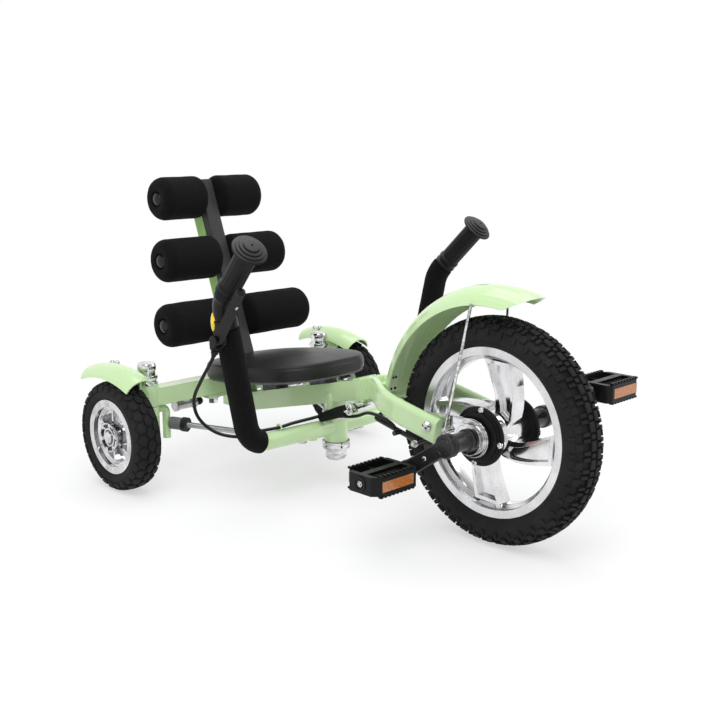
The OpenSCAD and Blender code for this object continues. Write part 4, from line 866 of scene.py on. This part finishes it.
class TRICYCLE_OT_cable(bpy.types.Operator):
    """Makes the brake cable from the hand lever to the brake"""

    bl_idname = "tricycle.cable"
    bl_label = "Brake cable"

    def execute(self, context):
        d = context.scene.tricycle_sizes.cable_d
        rear = [(-236, 44, 256), (-236, 49, 246), (-235, 60, 232), (-231, 88, 202), (-223, 116, 170),
                (-209, 125, 138), (-190, 109, 116), (-164, 87, 109), (-138, 73, 115), (-115, 56.5, 119.5),
                (-90, 56, 121), (-65, 56.5, 121), (-50.4, 56.5, 121)]
        front = [(-50, 56.5, 121), (-38, 57, 121), (-28, 52, 122), (-25, 38, 123), (-24, 14, 127),
                 (-25, -6, 131), (-28, -22, 136), (-37, -46, 146), (-46, -68, 151), (-50, -90, 151),
                 (-51, -104, 148), (-50, -113, 143), (-50, -116, 138)]
        for name, route, nodes, bodies, ends in (
                ("cable_rear", rear, ["brake_cable_rear"], ("steering", "frame"),
                 ((-0.115, 0.0565, 0.1195), (-0.052, 0.0565, 0.121))),
                ("cable_front", front, ["brake_cable_middle", "brake_cable_front"], ("frame", "boom"),
                 ((-0.024, 0.014, 0.127), (-0.030, -0.026, 0.138)))):
            path = spline([Vector(p) * MM for p in route], 6)
            obj = piece(name, tube(path, [d / 2] * len(path), 16), None, "grip")
            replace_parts(obj, *nodes)
            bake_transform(obj)
            length = sum((b - a).length for a, b in zip(path, path[1:]))
        return {"FINISHED"}


class TRICYCLE_OT_rollers(bpy.types.Operator):
    """Makes the foam rollers of the backrest and their end caps"""

    bl_idname = "tricycle.rollers"
    bl_label = "Foam rollers"

    def execute(self, context):
        z = context.scene.tricycle_sizes
        bore, inner_round, n, firm = 0.006, 0.009, z.roller_round, 0.02
        waves_round, waves_along, facet = 2.2, 40, 0.004
        caps = []
        for key in ("low", "middle", "top"):
            lo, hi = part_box("rollers_" + key)
            r = (hi.z - lo.z) / 2
            y, height, l = (lo.y + hi.y) / 2, (lo.z + hi.z) / 2, hi.x - z.roller_start
            rim = (0.0140, l - 0.0010)
            profile = [(bore, 0.0)] + run((bore, 0.0), (r - inner_round, 0.0), 4)
            profile += arc((r - inner_round, inner_round), inner_round, -90, 0, 6)
            profile += run((r, inner_round), (r, l - n), int(l / facet)) + arc((r - n, l - n), n, 0, 72, 10)
            profile += run(profile[-1], rim, 3)
            profile += [rim, (0.0127, l - 0.0026), (0.0117, l - z.dimple), (0.0052, l - z.dimple)]

            def soft(seed):
                def bulge(a, k):
                    radius, h = profile[k]
                    if radius < firm:
                        return 0.0
                    across, up = waves_round * math.cos(a), waves_round * math.sin(a)
                    return z.foam_waviness * noise.noise(Vector((across, up, h * waves_along + seed)))
                return bulge
            shapes = []
            for s in (RIGHT, LEFT):
                out = Vector((s, 0, 0))
                place = axes_along((s * z.roller_start, y, height), out)
                shapes.append(lathe(profile, 72, place, soft(s * 3.7 + l * 90)))
                hollow = axes_along((s * (hi.x - z.dimple), y, height), out)
                caps.append(lathe(dome(0.0238, 0.0092), 40, hollow))
            obj = piece("foam_rollers_" + key, joined(*shapes), "frame", "foam")
            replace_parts(obj, "rollers_" + key)
        obj = sharp(piece("roller_end_caps", joined(*caps), "frame", "cap"), 50)
        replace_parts(obj, "roller_caps")
        return {"FINISHED"}


class TRICYCLE_OT_sleeves(bpy.types.Operator):
    """Makes the foam sleeves on the steering levers"""

    bl_idname = "tricycle.sleeves"
    bl_label = "Lever sleeves"

    def execute(self, context):
        z = context.scene.tricycle_sizes
        edge, gap, facet = 0.0025, 0.0004, 0.004
        right_end = GRIP_CORNER - RISE * (LEVER_BELOW + LEVER_BAND + gap)
        ends = {"right": [right_end], "left": [GRIP_CORNER, GRIP_FOOT]}
        for name, s in SIDES.items():
            path = rounded_route([on_side(p, s) for p in [STEERING_HUB, ELBOW] + ends[name]], BAR_BEND, 14)
            cut = (Vector((0.1502 * s, 0.0565, 0.1035)) - path[0]).length
            path = dense(trimmed(path, cut), facet)
            total = [0.0]
            for a, b in zip(path, path[1:]):
                total.append(total[-1] + (b - a).length)
            radii = []
            for t in total:
                near = min(1, min(t, total[-1] - t) / edge)
                radii.append(z.sleeve_d / 2 - edge * (1 - math.sqrt(max(0.0, 1 - (1 - near) ** 2))))
            obj = piece("foam_sleeve_" + name, tube(path, radii, 40), "steering", "foam")
            for v in obj.data.vertices:
                v.co += v.normal * (z.foam_waviness * 0.5 * noise.noise(v.co * 60))
            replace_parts(obj, "sleeve_" + name)
        return {"FINISHED"}


class TRICYCLE_OT_clamp(bpy.types.Operator):
    """Makes the bright barrel and hook of the boom's quick-release lever"""

    bl_idname = "tricycle.clamp"
    bl_label = "Quick-release barrel"

    def execute(self, context):
        r, hook_r, lean = 0.0060, 0.0029, math.radians(-21.9)
        place = Matrix.Translation((-0.038, CLAMP_AXIS.y, CLAMP_AXIS.z)) @ Matrix.Rotation(lean, 4, "X")
        profile = [(TIP, -0.0044), (0.0024, -0.0044), (0.0030, -0.0050)]
        profile += arc((r - 0.0022, -0.0028), 0.0022, -90, 0, 5)
        profile += arc((r - 0.0025, 0.0021), 0.0025, 0, 90, 6) + [(TIP, 0.0046)]
        barrel = lathe(profile, 40, place @ axes_along((0, 0, 0), (1, 0, 0)))
        nut = lathe(acorn(0.0064, 0.0040), 6, place @ Matrix.Translation((0, 0, r - 0.0006)))
        bends = [(0, -0.001, -0.0042), (0, 0.0030, -0.0062), (0, 0.0080, -0.0058), (0, 0.0125, -0.0026),
                 (0, 0.0185, -0.0006)]
        path = [place @ p for p in spline(bends, 6)]
        hook = tube(path, [hook_r] * len(path), 20)
        obj = sharp(piece("clamp_barrel", joined(barrel, nut, hook), "qr_lever", "chrome"))
        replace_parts(obj, "clamp_lever")
        return {"FINISHED"}


class TRICYCLE_OT_lever_mount(bpy.types.Operator):
    """Makes the bracket and the shroud of the brake lever and the cable adjuster"""

    bl_idname = "tricycle.lever_mount"
    bl_label = "Brake lever mount"

    def execute(self, context):
        foot_r, taper, ridge_h, ridge_share, ridge_width_share = 0.0156, 0.0016, 0.0012, 0.86, 0.16
        route = [GRIP_CORNER - RISE * (LEVER_BELOW + LEVER_BAND), GRIP_CORNER, GRIP_FOOT]
        path = dense(rounded_route([on_side(p, RIGHT) for p in route], BAR_BEND, 16), 0.0015)
        radii = []
        for k in range(len(path)):
            t = k / (len(path) - 1)
            off = (t - ridge_share) / ridge_width_share
            radii.append(foot_r - taper * t + (ridge_h * math.cos(math.pi * off) if abs(off) < 0.5 else 0.0))
        piece("lever_shroud", tube(path, radii, 40), "steering", "plastic")

        top = GRIP_CORNER - RISE * LEVER_BELOW
        low = on_side(top - RISE * LEVER_BAND, RIGHT)
        bore, r, n = 0.0134, 0.0170, 0.0010
        band = ([(bore, 0.0), (r - n, 0.0)] + arc((r - n, n), n, -60, 0, 3)
                + arc((r - n, LEVER_BAND - n), n, 0, 90, 4) + [(bore, LEVER_BAND)])
        ring = lathe(band, 56, axes_along(low, on_side(top, RIGHT) - low), closed=True)
        pin, lug = LEVER_PIN[1:], (0.0425, 0.2589)
        lug_r, pin_r, pin_length, bridge_r, bridge_length = 0.0036, 0.0017, 0.0190, 0.0022, 0.0170
        inner = slab(around((*pin, 0.0085), (low.y, low.z, 0.0095), (*lug, lug_r)), -0.2310, -0.2270)
        outer = slab(around((*pin, 0.0078), (*lug, lug_r)), -0.2450, -0.2412)
        rounds = arc((pin_r, n), n, -90, 0, 3) + arc((pin_r, pin_length - n), n, 0, 90, 3)
        shaft = lathe([(TIP, 0.0)] + rounds + [(TIP, pin_length)], 28, axes_along((-0.2455, *pin), (1, 0, 0)))
        bridge = lathe([(TIP, 0.0), (bridge_r, 0.0), (bridge_r, bridge_length), (TIP, bridge_length)], 28,
                       axes_along((-0.2445, *lug), (1, 0, 0)))
        shape = joined(ring, inner, outer, shaft, bridge)
        body = piece("lever_bracket", shape, "steering", "plastic")
        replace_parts(sharp(bevelled(body, 0.0009)), "brake_bracket")

        foot, end = Vector((-0.236, 0.0425, 0.2590)), Vector((-0.236, 0.0500, 0.2450))
        l = (end - foot).length
        profile = [(0.0038, 0.0), (0.0038, 0.0044), (0.0050, 0.0048), (0.0050, 0.0104), (0.0038, 0.0110),
                   (0.0034, l - 0.0006), (0.0030, l)]
        knurled, depth, lines = (2, 3), 0.00035, 14

        def knurl(a, k):
            return depth * math.sin(a * lines) if k in knurled else 0.0
        shape = lathe(profile, 84, axes_along(foot, end - foot), knurl)
        sharp(piece("cable_adjuster", shape, "steering", "plastic"))
        return {"FINISHED"}


class TRICYCLE_OT_grips(bpy.types.Operator):
    """Makes the ribbed rubber grips"""

    bl_idname = "tricycle.grips"
    bl_label = "Grips"

    def execute(self, context):
        z = context.scene.tricycle_sizes
        l, r, ring, flange, rib_h, rib_rows = GRIP_LENGTH, 0.0154, 0.017, 0.0245, 0.0007, 25
        first, last = 0.0156, l - 0.0160
        profile = [(0.0131, 0.0), (ring - 0.0008, 0.0), (ring, 0.0008), (ring, 0.0034),
                   (ring - 0.0006, 0.0042), (r, 0.0056), (r, 0.0078), (ring - 0.0006, 0.0092),
                   (ring, 0.0100), (ring, 0.0134), (ring - 0.0006, 0.0142), (r, first)]
        ribbed = range(len(profile), len(profile) + rib_rows - 1)
        profile += run((r, first), (r, last), rib_rows)
        profile += [(r, last), (r + 0.0008, l - 0.0146), (flange - 0.0030, l - 0.0126),
                    (flange - 0.0006, l - 0.0116), (flange, l - 0.0102), (flange - 0.0005, l - 0.0088)]
        for k, radius in enumerate((0.0208, 0.0164, 0.0116)):
            h = l - 0.0080 + 0.0025 * k
            profile += [(radius + 0.0012, h), (radius + 0.0002, h + 0.0003), (radius, h + 0.0013),
                        (radius - 0.0004, h + 0.0021), (radius - 0.0013, h + 0.0025)]
        profile += [(0.0080, l - 0.0003), (0.0040, l), (0.0016, l), (0.0013, l - 0.0006), (0.0012, l - 0.006)]

        def ribs(a, k):
            if k not in ribbed:
                return 0.0
            fade = min(1.0, (k - ribbed[0] + 1) / 2, (ribbed[-1] - k + 1) / 2)
            return rib_h * fade * (abs(math.sin(a * z.grip_ribs / 2)) ** 0.5 - 1)
        for name, s in SIDES.items():
            place = axes_along(on_side(GRIP_TIP - REACH * l, s), on_side(REACH, s))
            shape = lathe(profile, 208, place, ribs)
            obj = sharp(piece("grip_rubber_" + name, shape, "steering", "grip"))
            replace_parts(obj, "grip_" + name)
        return {"FINISHED"}


class TRICYCLE_OT_tyres(bpy.types.Operator):
    """Makes the tyres: a knobbly front tread and shallow six-sided blocks at the back"""

    bl_idname = "tricycle.tyres"
    bl_label = "Tyres"

    def execute(self, context):
        z = context.scene.tricycle_sizes
        rows = []
        for side, shift in ((LEFT, 0.0), (RIGHT, 0.5)):
            for middle, phase, u, v, height in (
                    (0.0056, 0.0, 0.0062, 0.0040, 0.0045), (0.0056, 0.5, 0.0028, 0.0034, 0.0043),
                    (0.0152, 0.33, 0.0025, 0.0042, 0.0043), (0.0152, 0.67, 0.0025, 0.0042, 0.0043),
                    (0.0244, 0.0, 0.0046, 0.0036, 0.0040), (0.0322, 0.5, 0.0027, 0.0038, 0.0028)):
                knob = [(u, -v), (u, v), (-u, v), (-u, -v)]
                rows.append((side * middle, z.front_knobs, phase + shift, knob, height))
        front = Meridian(crown=0.1505, bead=0.1156, half_w=0.027, fullness=0.85)
        place = axes_along(FRONT_AXLE, (1, 0, 0))
        shape = joined(front.carcass((0.0425, 0.0440), 0.0006, 60, 144, place), front.blocks(rows, place))
        obj = sharp(piece("knobbly_tyre", shape, "drive_wheel", "rubber"))
        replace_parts(obj, "front_tyre")

        six = [(0.0079, 0.0012), (0.0040, 0.0053), (-0.0040, 0.0053), (-0.0079, 0.0012),
               (-0.0079, -0.0012), (-0.0040, -0.0053), (0.0040, -0.0053), (0.0079, -0.0012)]
        edge = [(0.0082, -0.0006), (0.0072, 0.0036), (-0.0072, 0.0036),
                (-0.0082, -0.0006), (-0.0040, -0.0044), (0.0040, -0.0044)]
        rows = [(0.0, z.rear_blocks, 0.0, six, 0.0030)]
        for s in (RIGHT, LEFT):
            rows.append((s * 0.0124, z.rear_blocks, 0.5, six, 0.0029))
            corners = edge if s > 0 else [(u, -v) for u, v in reversed(edge)]
            rows.append((s * 0.0230, z.rear_blocks, 0.0, corners, 0.0020))
        rear = Meridian(crown=0.0830, bead=0.0581, half_w=0.021, fullness=0.65)
        for name, s in SIDES.items():
            place = axes_along(on_side(REAR_AXLE, s), (1, 0, 0))
            shape = joined(rear.carcass((0.0300, 0.0330), 0.0005, 48, 112, place), rear.blocks(rows, place))
            obj = sharp(piece("block_tyre_" + name, shape, "back_wheel_" + name, "rubber"))
            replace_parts(obj, "rear_tyre_" + name)
        return {"FINISHED"}


class TRICYCLE_OT_seat(bpy.types.Operator):
    """Makes the moulded seat shell, with a notch for the backrest post"""

    bl_idname = "tricycle.seat"
    bl_label = "Seat"

    def execute(self, context):
        tilt, recline = math.radians(6.5), math.radians(20.3)
        place = Matrix.Translation((0, 0.1755, 0.167)) @ Matrix.Rotation(-tilt, 4, "X")
        half_w, half_l, skirt, crown, lip, squareness = 0.107, 0.130, 0.022, 0.009, 0.0013, 0.8
        brim_share, middle_share, steps, turns = 0.955, 0.02, 21, 160
        rings = [(0.944, 0.004), (0.944, 0.0004), (0.99, 0.0), (1.0, 0.0012), (1.006, 0.006), (1.01, 0.011),
                 (1.006, 0.0155), (1.0, 0.0178), (0.9935, 0.0186), (0.9915, 0.0192), (0.9925, 0.0199),
                 (0.988, 0.0212), (0.980, 0.0221), (0.970, 0.0227), (brim_share, 0.0233)]
        for k in range(1, steps + 1):
            t = k / steps
            share = brim_share * (1 - t) + middle_share * t
            rings.append((share, skirt + lip + (crown - lip) * (1 - (share / brim_share) ** 2.2)))
        verts = []
        for share, h in rings:
            for i in range(turns):
                a = 2 * math.pi * i / turns
                c, s = math.cos(a), math.sin(a)
                x = share * half_w * math.copysign(abs(c) ** squareness, c)
                y = share * half_l * math.copysign(abs(s) ** squareness, s)
                verts.append(place @ Vector((x, y, h)))
        notch, ease = 0.0215, 0.0022
        post_y, post_z, post_half = 0.2565, 0.1199, 0.0155
        for v in verts:
            limit = post_y + (v.z - post_z) * math.tan(recline) - post_half
            if abs(v.x) < notch and v.y > limit:
                v.y += (limit - v.y) * min(1.0, (notch - abs(v.x)) / ease)
        shape = verts, stacked(len(rings), turns)
        obj = sharp(piece("seat_shell", shape, "frame", "seat"), 50)
        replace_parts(obj, "seat")
        return {"FINISHED"}


class TRICYCLE_OT_brackets(bpy.types.Operator):
    """Makes the plates that hold the axle's bearing cups on the fork blades"""

    bl_idname = "tricycle.brackets"
    bl_label = "Axle brackets"

    def execute(self, context):
        reach, rise, near, far, bore = 0.0777, 0.0070, 0.0499, 0.0539, 0.02505
        outline = [FRONT_AXLE + p for p in around((0.0, 0.0, 0.0262), (reach, rise, 0.014))]
        hole = [FRONT_AXLE + (p - FRONT_AXLE).normalized() * bore for p in outline]
        rings = ((outline, near), (outline, far), (hole, far), (hole, near))
        faces = stacked(len(rings), len(outline), closed=True)
        plates = []
        for s in SIDES.values():
            verts = [p + Vector((s * x, 0, 0)) for ring, x in rings for p in ring]
            plates.append((verts, faces if s > 0 else flipped(faces)))
        obj = piece("axle_plates", joined(*plates), "boom", "chrome")
        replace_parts(sharp(bevelled(obj, 0.0008)), "axle_brackets")
        return {"FINISHED"}


class TRICYCLE_OT_cranks(bpy.types.Operator):
    """Makes the forged cranks with their turned bosses and spindles"""

    bl_idname = "tricycle.cranks"
    bl_label = "Cranks"

    def execute(self, context):
        inner, outer, thick, length = 0.0634, CRANK_FACE, 0.012, 0.080
        boss, end, waist, edge, pin_r = 0.0158, 0.0124, 0.0106, 0.0024, 0.0047
        back, root = outer - thick, boss - 0.0010
        hub = [(0.0098, inner), (0.0142, inner), (0.0148, inner + 0.0006), (0.0148, inner + 0.0030),
               (0.0142, inner + 0.0036), (0.0128, inner + 0.0040), (0.0124, inner + 0.0060),
               (0.0124, back - 0.0060), (0.0128, back - 0.0030), (0.0142, back - 0.0012), (boss, back)]
        hub += arc((boss - edge, outer - edge), edge, 0, 90, 6)
        hub += [(0.0118, outer), (0.0112, outer - 0.0007), (0.0106, outer - 0.0007), (0.0100, outer + 0.0001),
                (TIP, outer + 0.0004)]
        pin = [(0.0060, back + 0.0006), (0.0060, outer + 0.0030), (pin_r, outer + 0.0034), (pin_r, 0.1880),
               (TIP, 0.1890)]
        opening, closing = math.degrees(math.asin(waist / root)), 180 - math.degrees(math.asin(waist / end))
        outline = arc((0, 0), root, opening, 360 - opening, 24) + arc((length, 0), end, -closing, closing, 20)
        for name, s in SIDES.items():
            c, d = math.cos(CRANK_TURN[s]), math.sin(CRANK_TURN[s])
            along, across, out = Vector((0, c, d)), Vector((0, -d, c)), Vector((s, 0, 0))
            points = [FRONT_AXLE + along * u + across * v for u, v in outline]
            blank = slab(points, s * back, s * (outer - 0.0005))
            arm = piece("crank_arm_" + name, blank, "drive_wheel", "enamel")
            sharp(bevelled(arm, 0.0022, 3))
            turned = joined(lathe(hub, 56, axes_along(FRONT_AXLE, out)),
                            lathe(pin, 28, axes_along(FRONT_AXLE + along * length, out)))
            obj = sharp(piece("crank_boss_" + name, turned, "drive_wheel", "enamel"))
            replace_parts(obj, "crank_" + name)
        return {"FINISHED"}


class TRICYCLE_OT_pedals(bpy.types.Operator):
    """Makes the barrels, teeth and cross ribs of the pedals"""

    bl_idname = "tricycle.pedals"
    bl_label = "Pedal teeth"

    def execute(self, context):
        wall, half_h, overlap = 0.0070, 0.0125, 0.0005
        teeth, pitch, tooth_start, tooth_end, tooth_inset, tooth_h = 9, 0.0072, 0.0075, 0.0118, 0.0006, 0.0024
        rib_foot, rib_half_w, rib_half_h = 0.0080, 0.0020, 0.0085
        middle = PEDAL_START + PEDAL_LENGTH / 2
        barrel = [(0.0052, 0.0004), (0.0094, 0.0004), (0.0098, 0.0010), (0.0098, 0.0640), (0.0104, 0.0655)]
        barrel += [(0.0104, 0.0775)] + arc((0.0094, 0.0775), 0.0010, 0, 90, 3)
        barrel += [(0.0078, 0.0785), (0.0072, 0.0772), (0.0040, 0.0772), (0.0040, 0.0750), (0.0052, 0.0748)]
        for name, s in SIDES.items():
            lo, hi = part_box("pedal_" + name)
            y, z, half = (lo.y + hi.y) / 2, (lo.z + hi.z) / 2, (hi.y - lo.y) / 2
            shapes = []
            for side in (-1, 1):
                outside, inside = y + side * (half - tooth_inset), y + side * (half - wall + tooth_inset)
                for up in (-1, 1):
                    low, high = z + up * (half_h - overlap), z + up * (half_h + tooth_h)
                    for k in range(teeth):
                        x = PEDAL_START + pitch * k
                        near, far = s * (x + tooth_start), s * (x + tooth_end)
                        shapes.append(brick((near, outside, low), (far, inside, high)))
                shapes.append(brick(
                    (s * (middle - rib_half_w), y + side * (half - wall + overlap), z - rib_half_h),
                    (s * (middle + rib_half_w), y + side * rib_foot, z + rib_half_h)))
            turned = lathe(barrel, 48, axes_along((s * PEDAL_START, y, z), (s, 0, 0)), closed=True)
            body = "foot_pedal_" + name
            piece("pedal_barrel_" + name, turned, body, "plastic")
            bevelled(piece("pedal_teeth_" + name, joined(*shapes), body, "plastic"), 0.0005)
        return {"FINISHED"}


class TRICYCLE_OT_fittings(bpy.types.Operator):
    """Makes the small bolts, nuts, rivets and knobs and the lens"""

    bl_idname = "tricycle.fittings"
    bl_label = "Small fittings"

    def execute(self, context):
        z = context.scene.tricycle_sizes
        ridge = [(0.0272, 0.0400), (0.0272, 0.0424), (0.0280, 0.0432), (0.0292, 0.0432), (0.0300, 0.0424),
                 (0.0300, 0.0400)]
        knob = [(0.0052, -0.0010), (0.0052, 0.0030)]
        knob += arc((0.0, 0.0085), 0.0068, -50, 80, 8) + [(TIP, 0.0153)]
        bright, dark = {}, {}

        def add(group, body, profile, at, direction, turns=24, closed=False):
            group.setdefault(body, []).append(lathe(profile, turns, axes_along(at, direction), closed=closed))

        def by_axle(x, radius, degrees):
            a = math.radians(degrees)
            return FRONT_AXLE + Vector((x, radius * math.cos(a), radius * math.sin(a)))
        for name, s in SIDES.items():
            out = Vector((s, 0, 0))
            for k in range(4):
                at = by_axle(s * 0.041, 0.0364, 97 + 90 * k)
                add(bright, "drive_wheel", bolt_head(z.bolt_d, 0.0044), at, out)
            add(dark, "drive_wheel", ridge, FRONT_AXLE, out, 64, closed=True)
            rivet = by_axle(s * (CRANK_FACE - 0.001), 0.040, math.degrees(CRANK_TURN[s]))
            add(bright, "drive_wheel", dome(z.rivet_d, 0.0016), rivet, out)
            lo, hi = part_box("pedal_" + name)
            end = Vector((s * (PEDAL_START + PEDAL_LENGTH), (lo.y + hi.y) / 2, (lo.z + hi.z) / 2))
            add(bright, "foot_pedal_" + name, acorn(0.0066, 0.0030), end, out)
            add(bright, "boom", acorn(0.0072, 0.0045), FRONT_AXLE + Vector((s * 0.062, 0.041, 0.003)), out)
            add(bright, "caliper_" + name, acorn(0.0085, 0.0075), by_axle(s * 0.050, 0.107, -16), out)
            for y in (0.327, 0.341):
                at, normal = seat_on("rear_fender_" + name, (s * 0.216, y, 0.260), (0, 0, -1))
                add(bright, "stub_" + name, acorn(0.0080, 0.0054), at, normal)
            eye = Vector((-s * CAMERA.x, CAMERA.y, CAMERA.z))
            for y, height in ((-0.1037, 0.2089), (-0.1020, 0.1928)):
                at, normal = seat_on("front_fender", eye, Vector((s * 0.036, y, height)) - eye)
                add(dark, "boom", dome(0.0042, 0.0010), at, normal)
            add(dark, "frame", knob, Vector((s * 0.0935, 0.2945, 0.1115)), -out)
        lean, reach, clear = math.radians(36), 0.065, 0.03
        along = Vector((0, -math.sin(lean), math.cos(lean)))
        front = Vector((0, -along.z, along.y))
        at, normal = seat_on("brake_lever", Vector(LEVER_PIN) + along * reach + front * clear, -front)
        add(bright, "brake_hand_lever", dome(0.0050, 0.0016), at, normal)
        for group, label, material, slot in ((bright, "bright_bolts_", "chrome", "chrome"),
                                             (dark, "dark_studs_", "plastic", "black_plastic")):
            for body, shapes in group.items():
                sharp(piece(label + body, joined(*shapes), body, material))
        r, stretch = 0.0045, Matrix.Diagonal((0.9, 1.15, 3.2, 1.0))
        shape = lathe([(TIP, -r)] + arc((0.0, 0.0), r, -80, 80, 14) + [(TIP, r)], 32,
                      Matrix.Translation((-0.2290, 0.0555, 0.2910)) @ stretch)
        piece("bracket_lens", shape, "steering", "lens")
        return {"FINISHED"}


class TRICYCLE_PT_panel(bpy.types.Panel):
    """Lists the pieces in the order in which they are made"""

    bl_idname = "TRICYCLE_PT_panel"
    bl_label = "Low rider tricycle"
    bl_space_type = "VIEW_3D"
    bl_region_type = "UI"
    bl_category = "Tricycle"

    def draw(self, context):
        for operator in OPERATORS:
            self.layout.operator(operator.bl_idname)
        for group in (context.scene.tricycle_sizes, context.scene.tricycle_colours):
            for name in group.__annotations__:
                self.layout.prop(group, name)


OPERATORS = (
    TRICYCLE_OT_stage, TRICYCLE_OT_finishes, TRICYCLE_OT_edges, TRICYCLE_OT_cable, TRICYCLE_OT_rollers,
    TRICYCLE_OT_sleeves, TRICYCLE_OT_clamp, TRICYCLE_OT_lever_mount, TRICYCLE_OT_grips, TRICYCLE_OT_tyres,
    TRICYCLE_OT_seat, TRICYCLE_OT_brackets, TRICYCLE_OT_cranks, TRICYCLE_OT_pedals, TRICYCLE_OT_fittings)
CLASSES = (TricycleSizes, TricycleColours) + OPERATORS + (TRICYCLE_PT_panel,)


def register():
    for cls in CLASSES:
        bpy.utils.register_class(cls)
    bpy.types.Scene.tricycle_sizes = bpy.props.PointerProperty(type=TricycleSizes)
    bpy.types.Scene.tricycle_colours = bpy.props.PointerProperty(type=TricycleColours)


def unregister():
    del bpy.types.Scene.tricycle_colours
    del bpy.types.Scene.tricycle_sizes
    for cls in reversed(CLASSES):
        bpy.utils.unregister_class(cls)


def main():
    register()
    for operator in OPERATORS:
        group, name = operator.bl_idname.split(".")
        getattr(getattr(bpy.ops, group), name)()


if __name__ == "__main__":
    main()
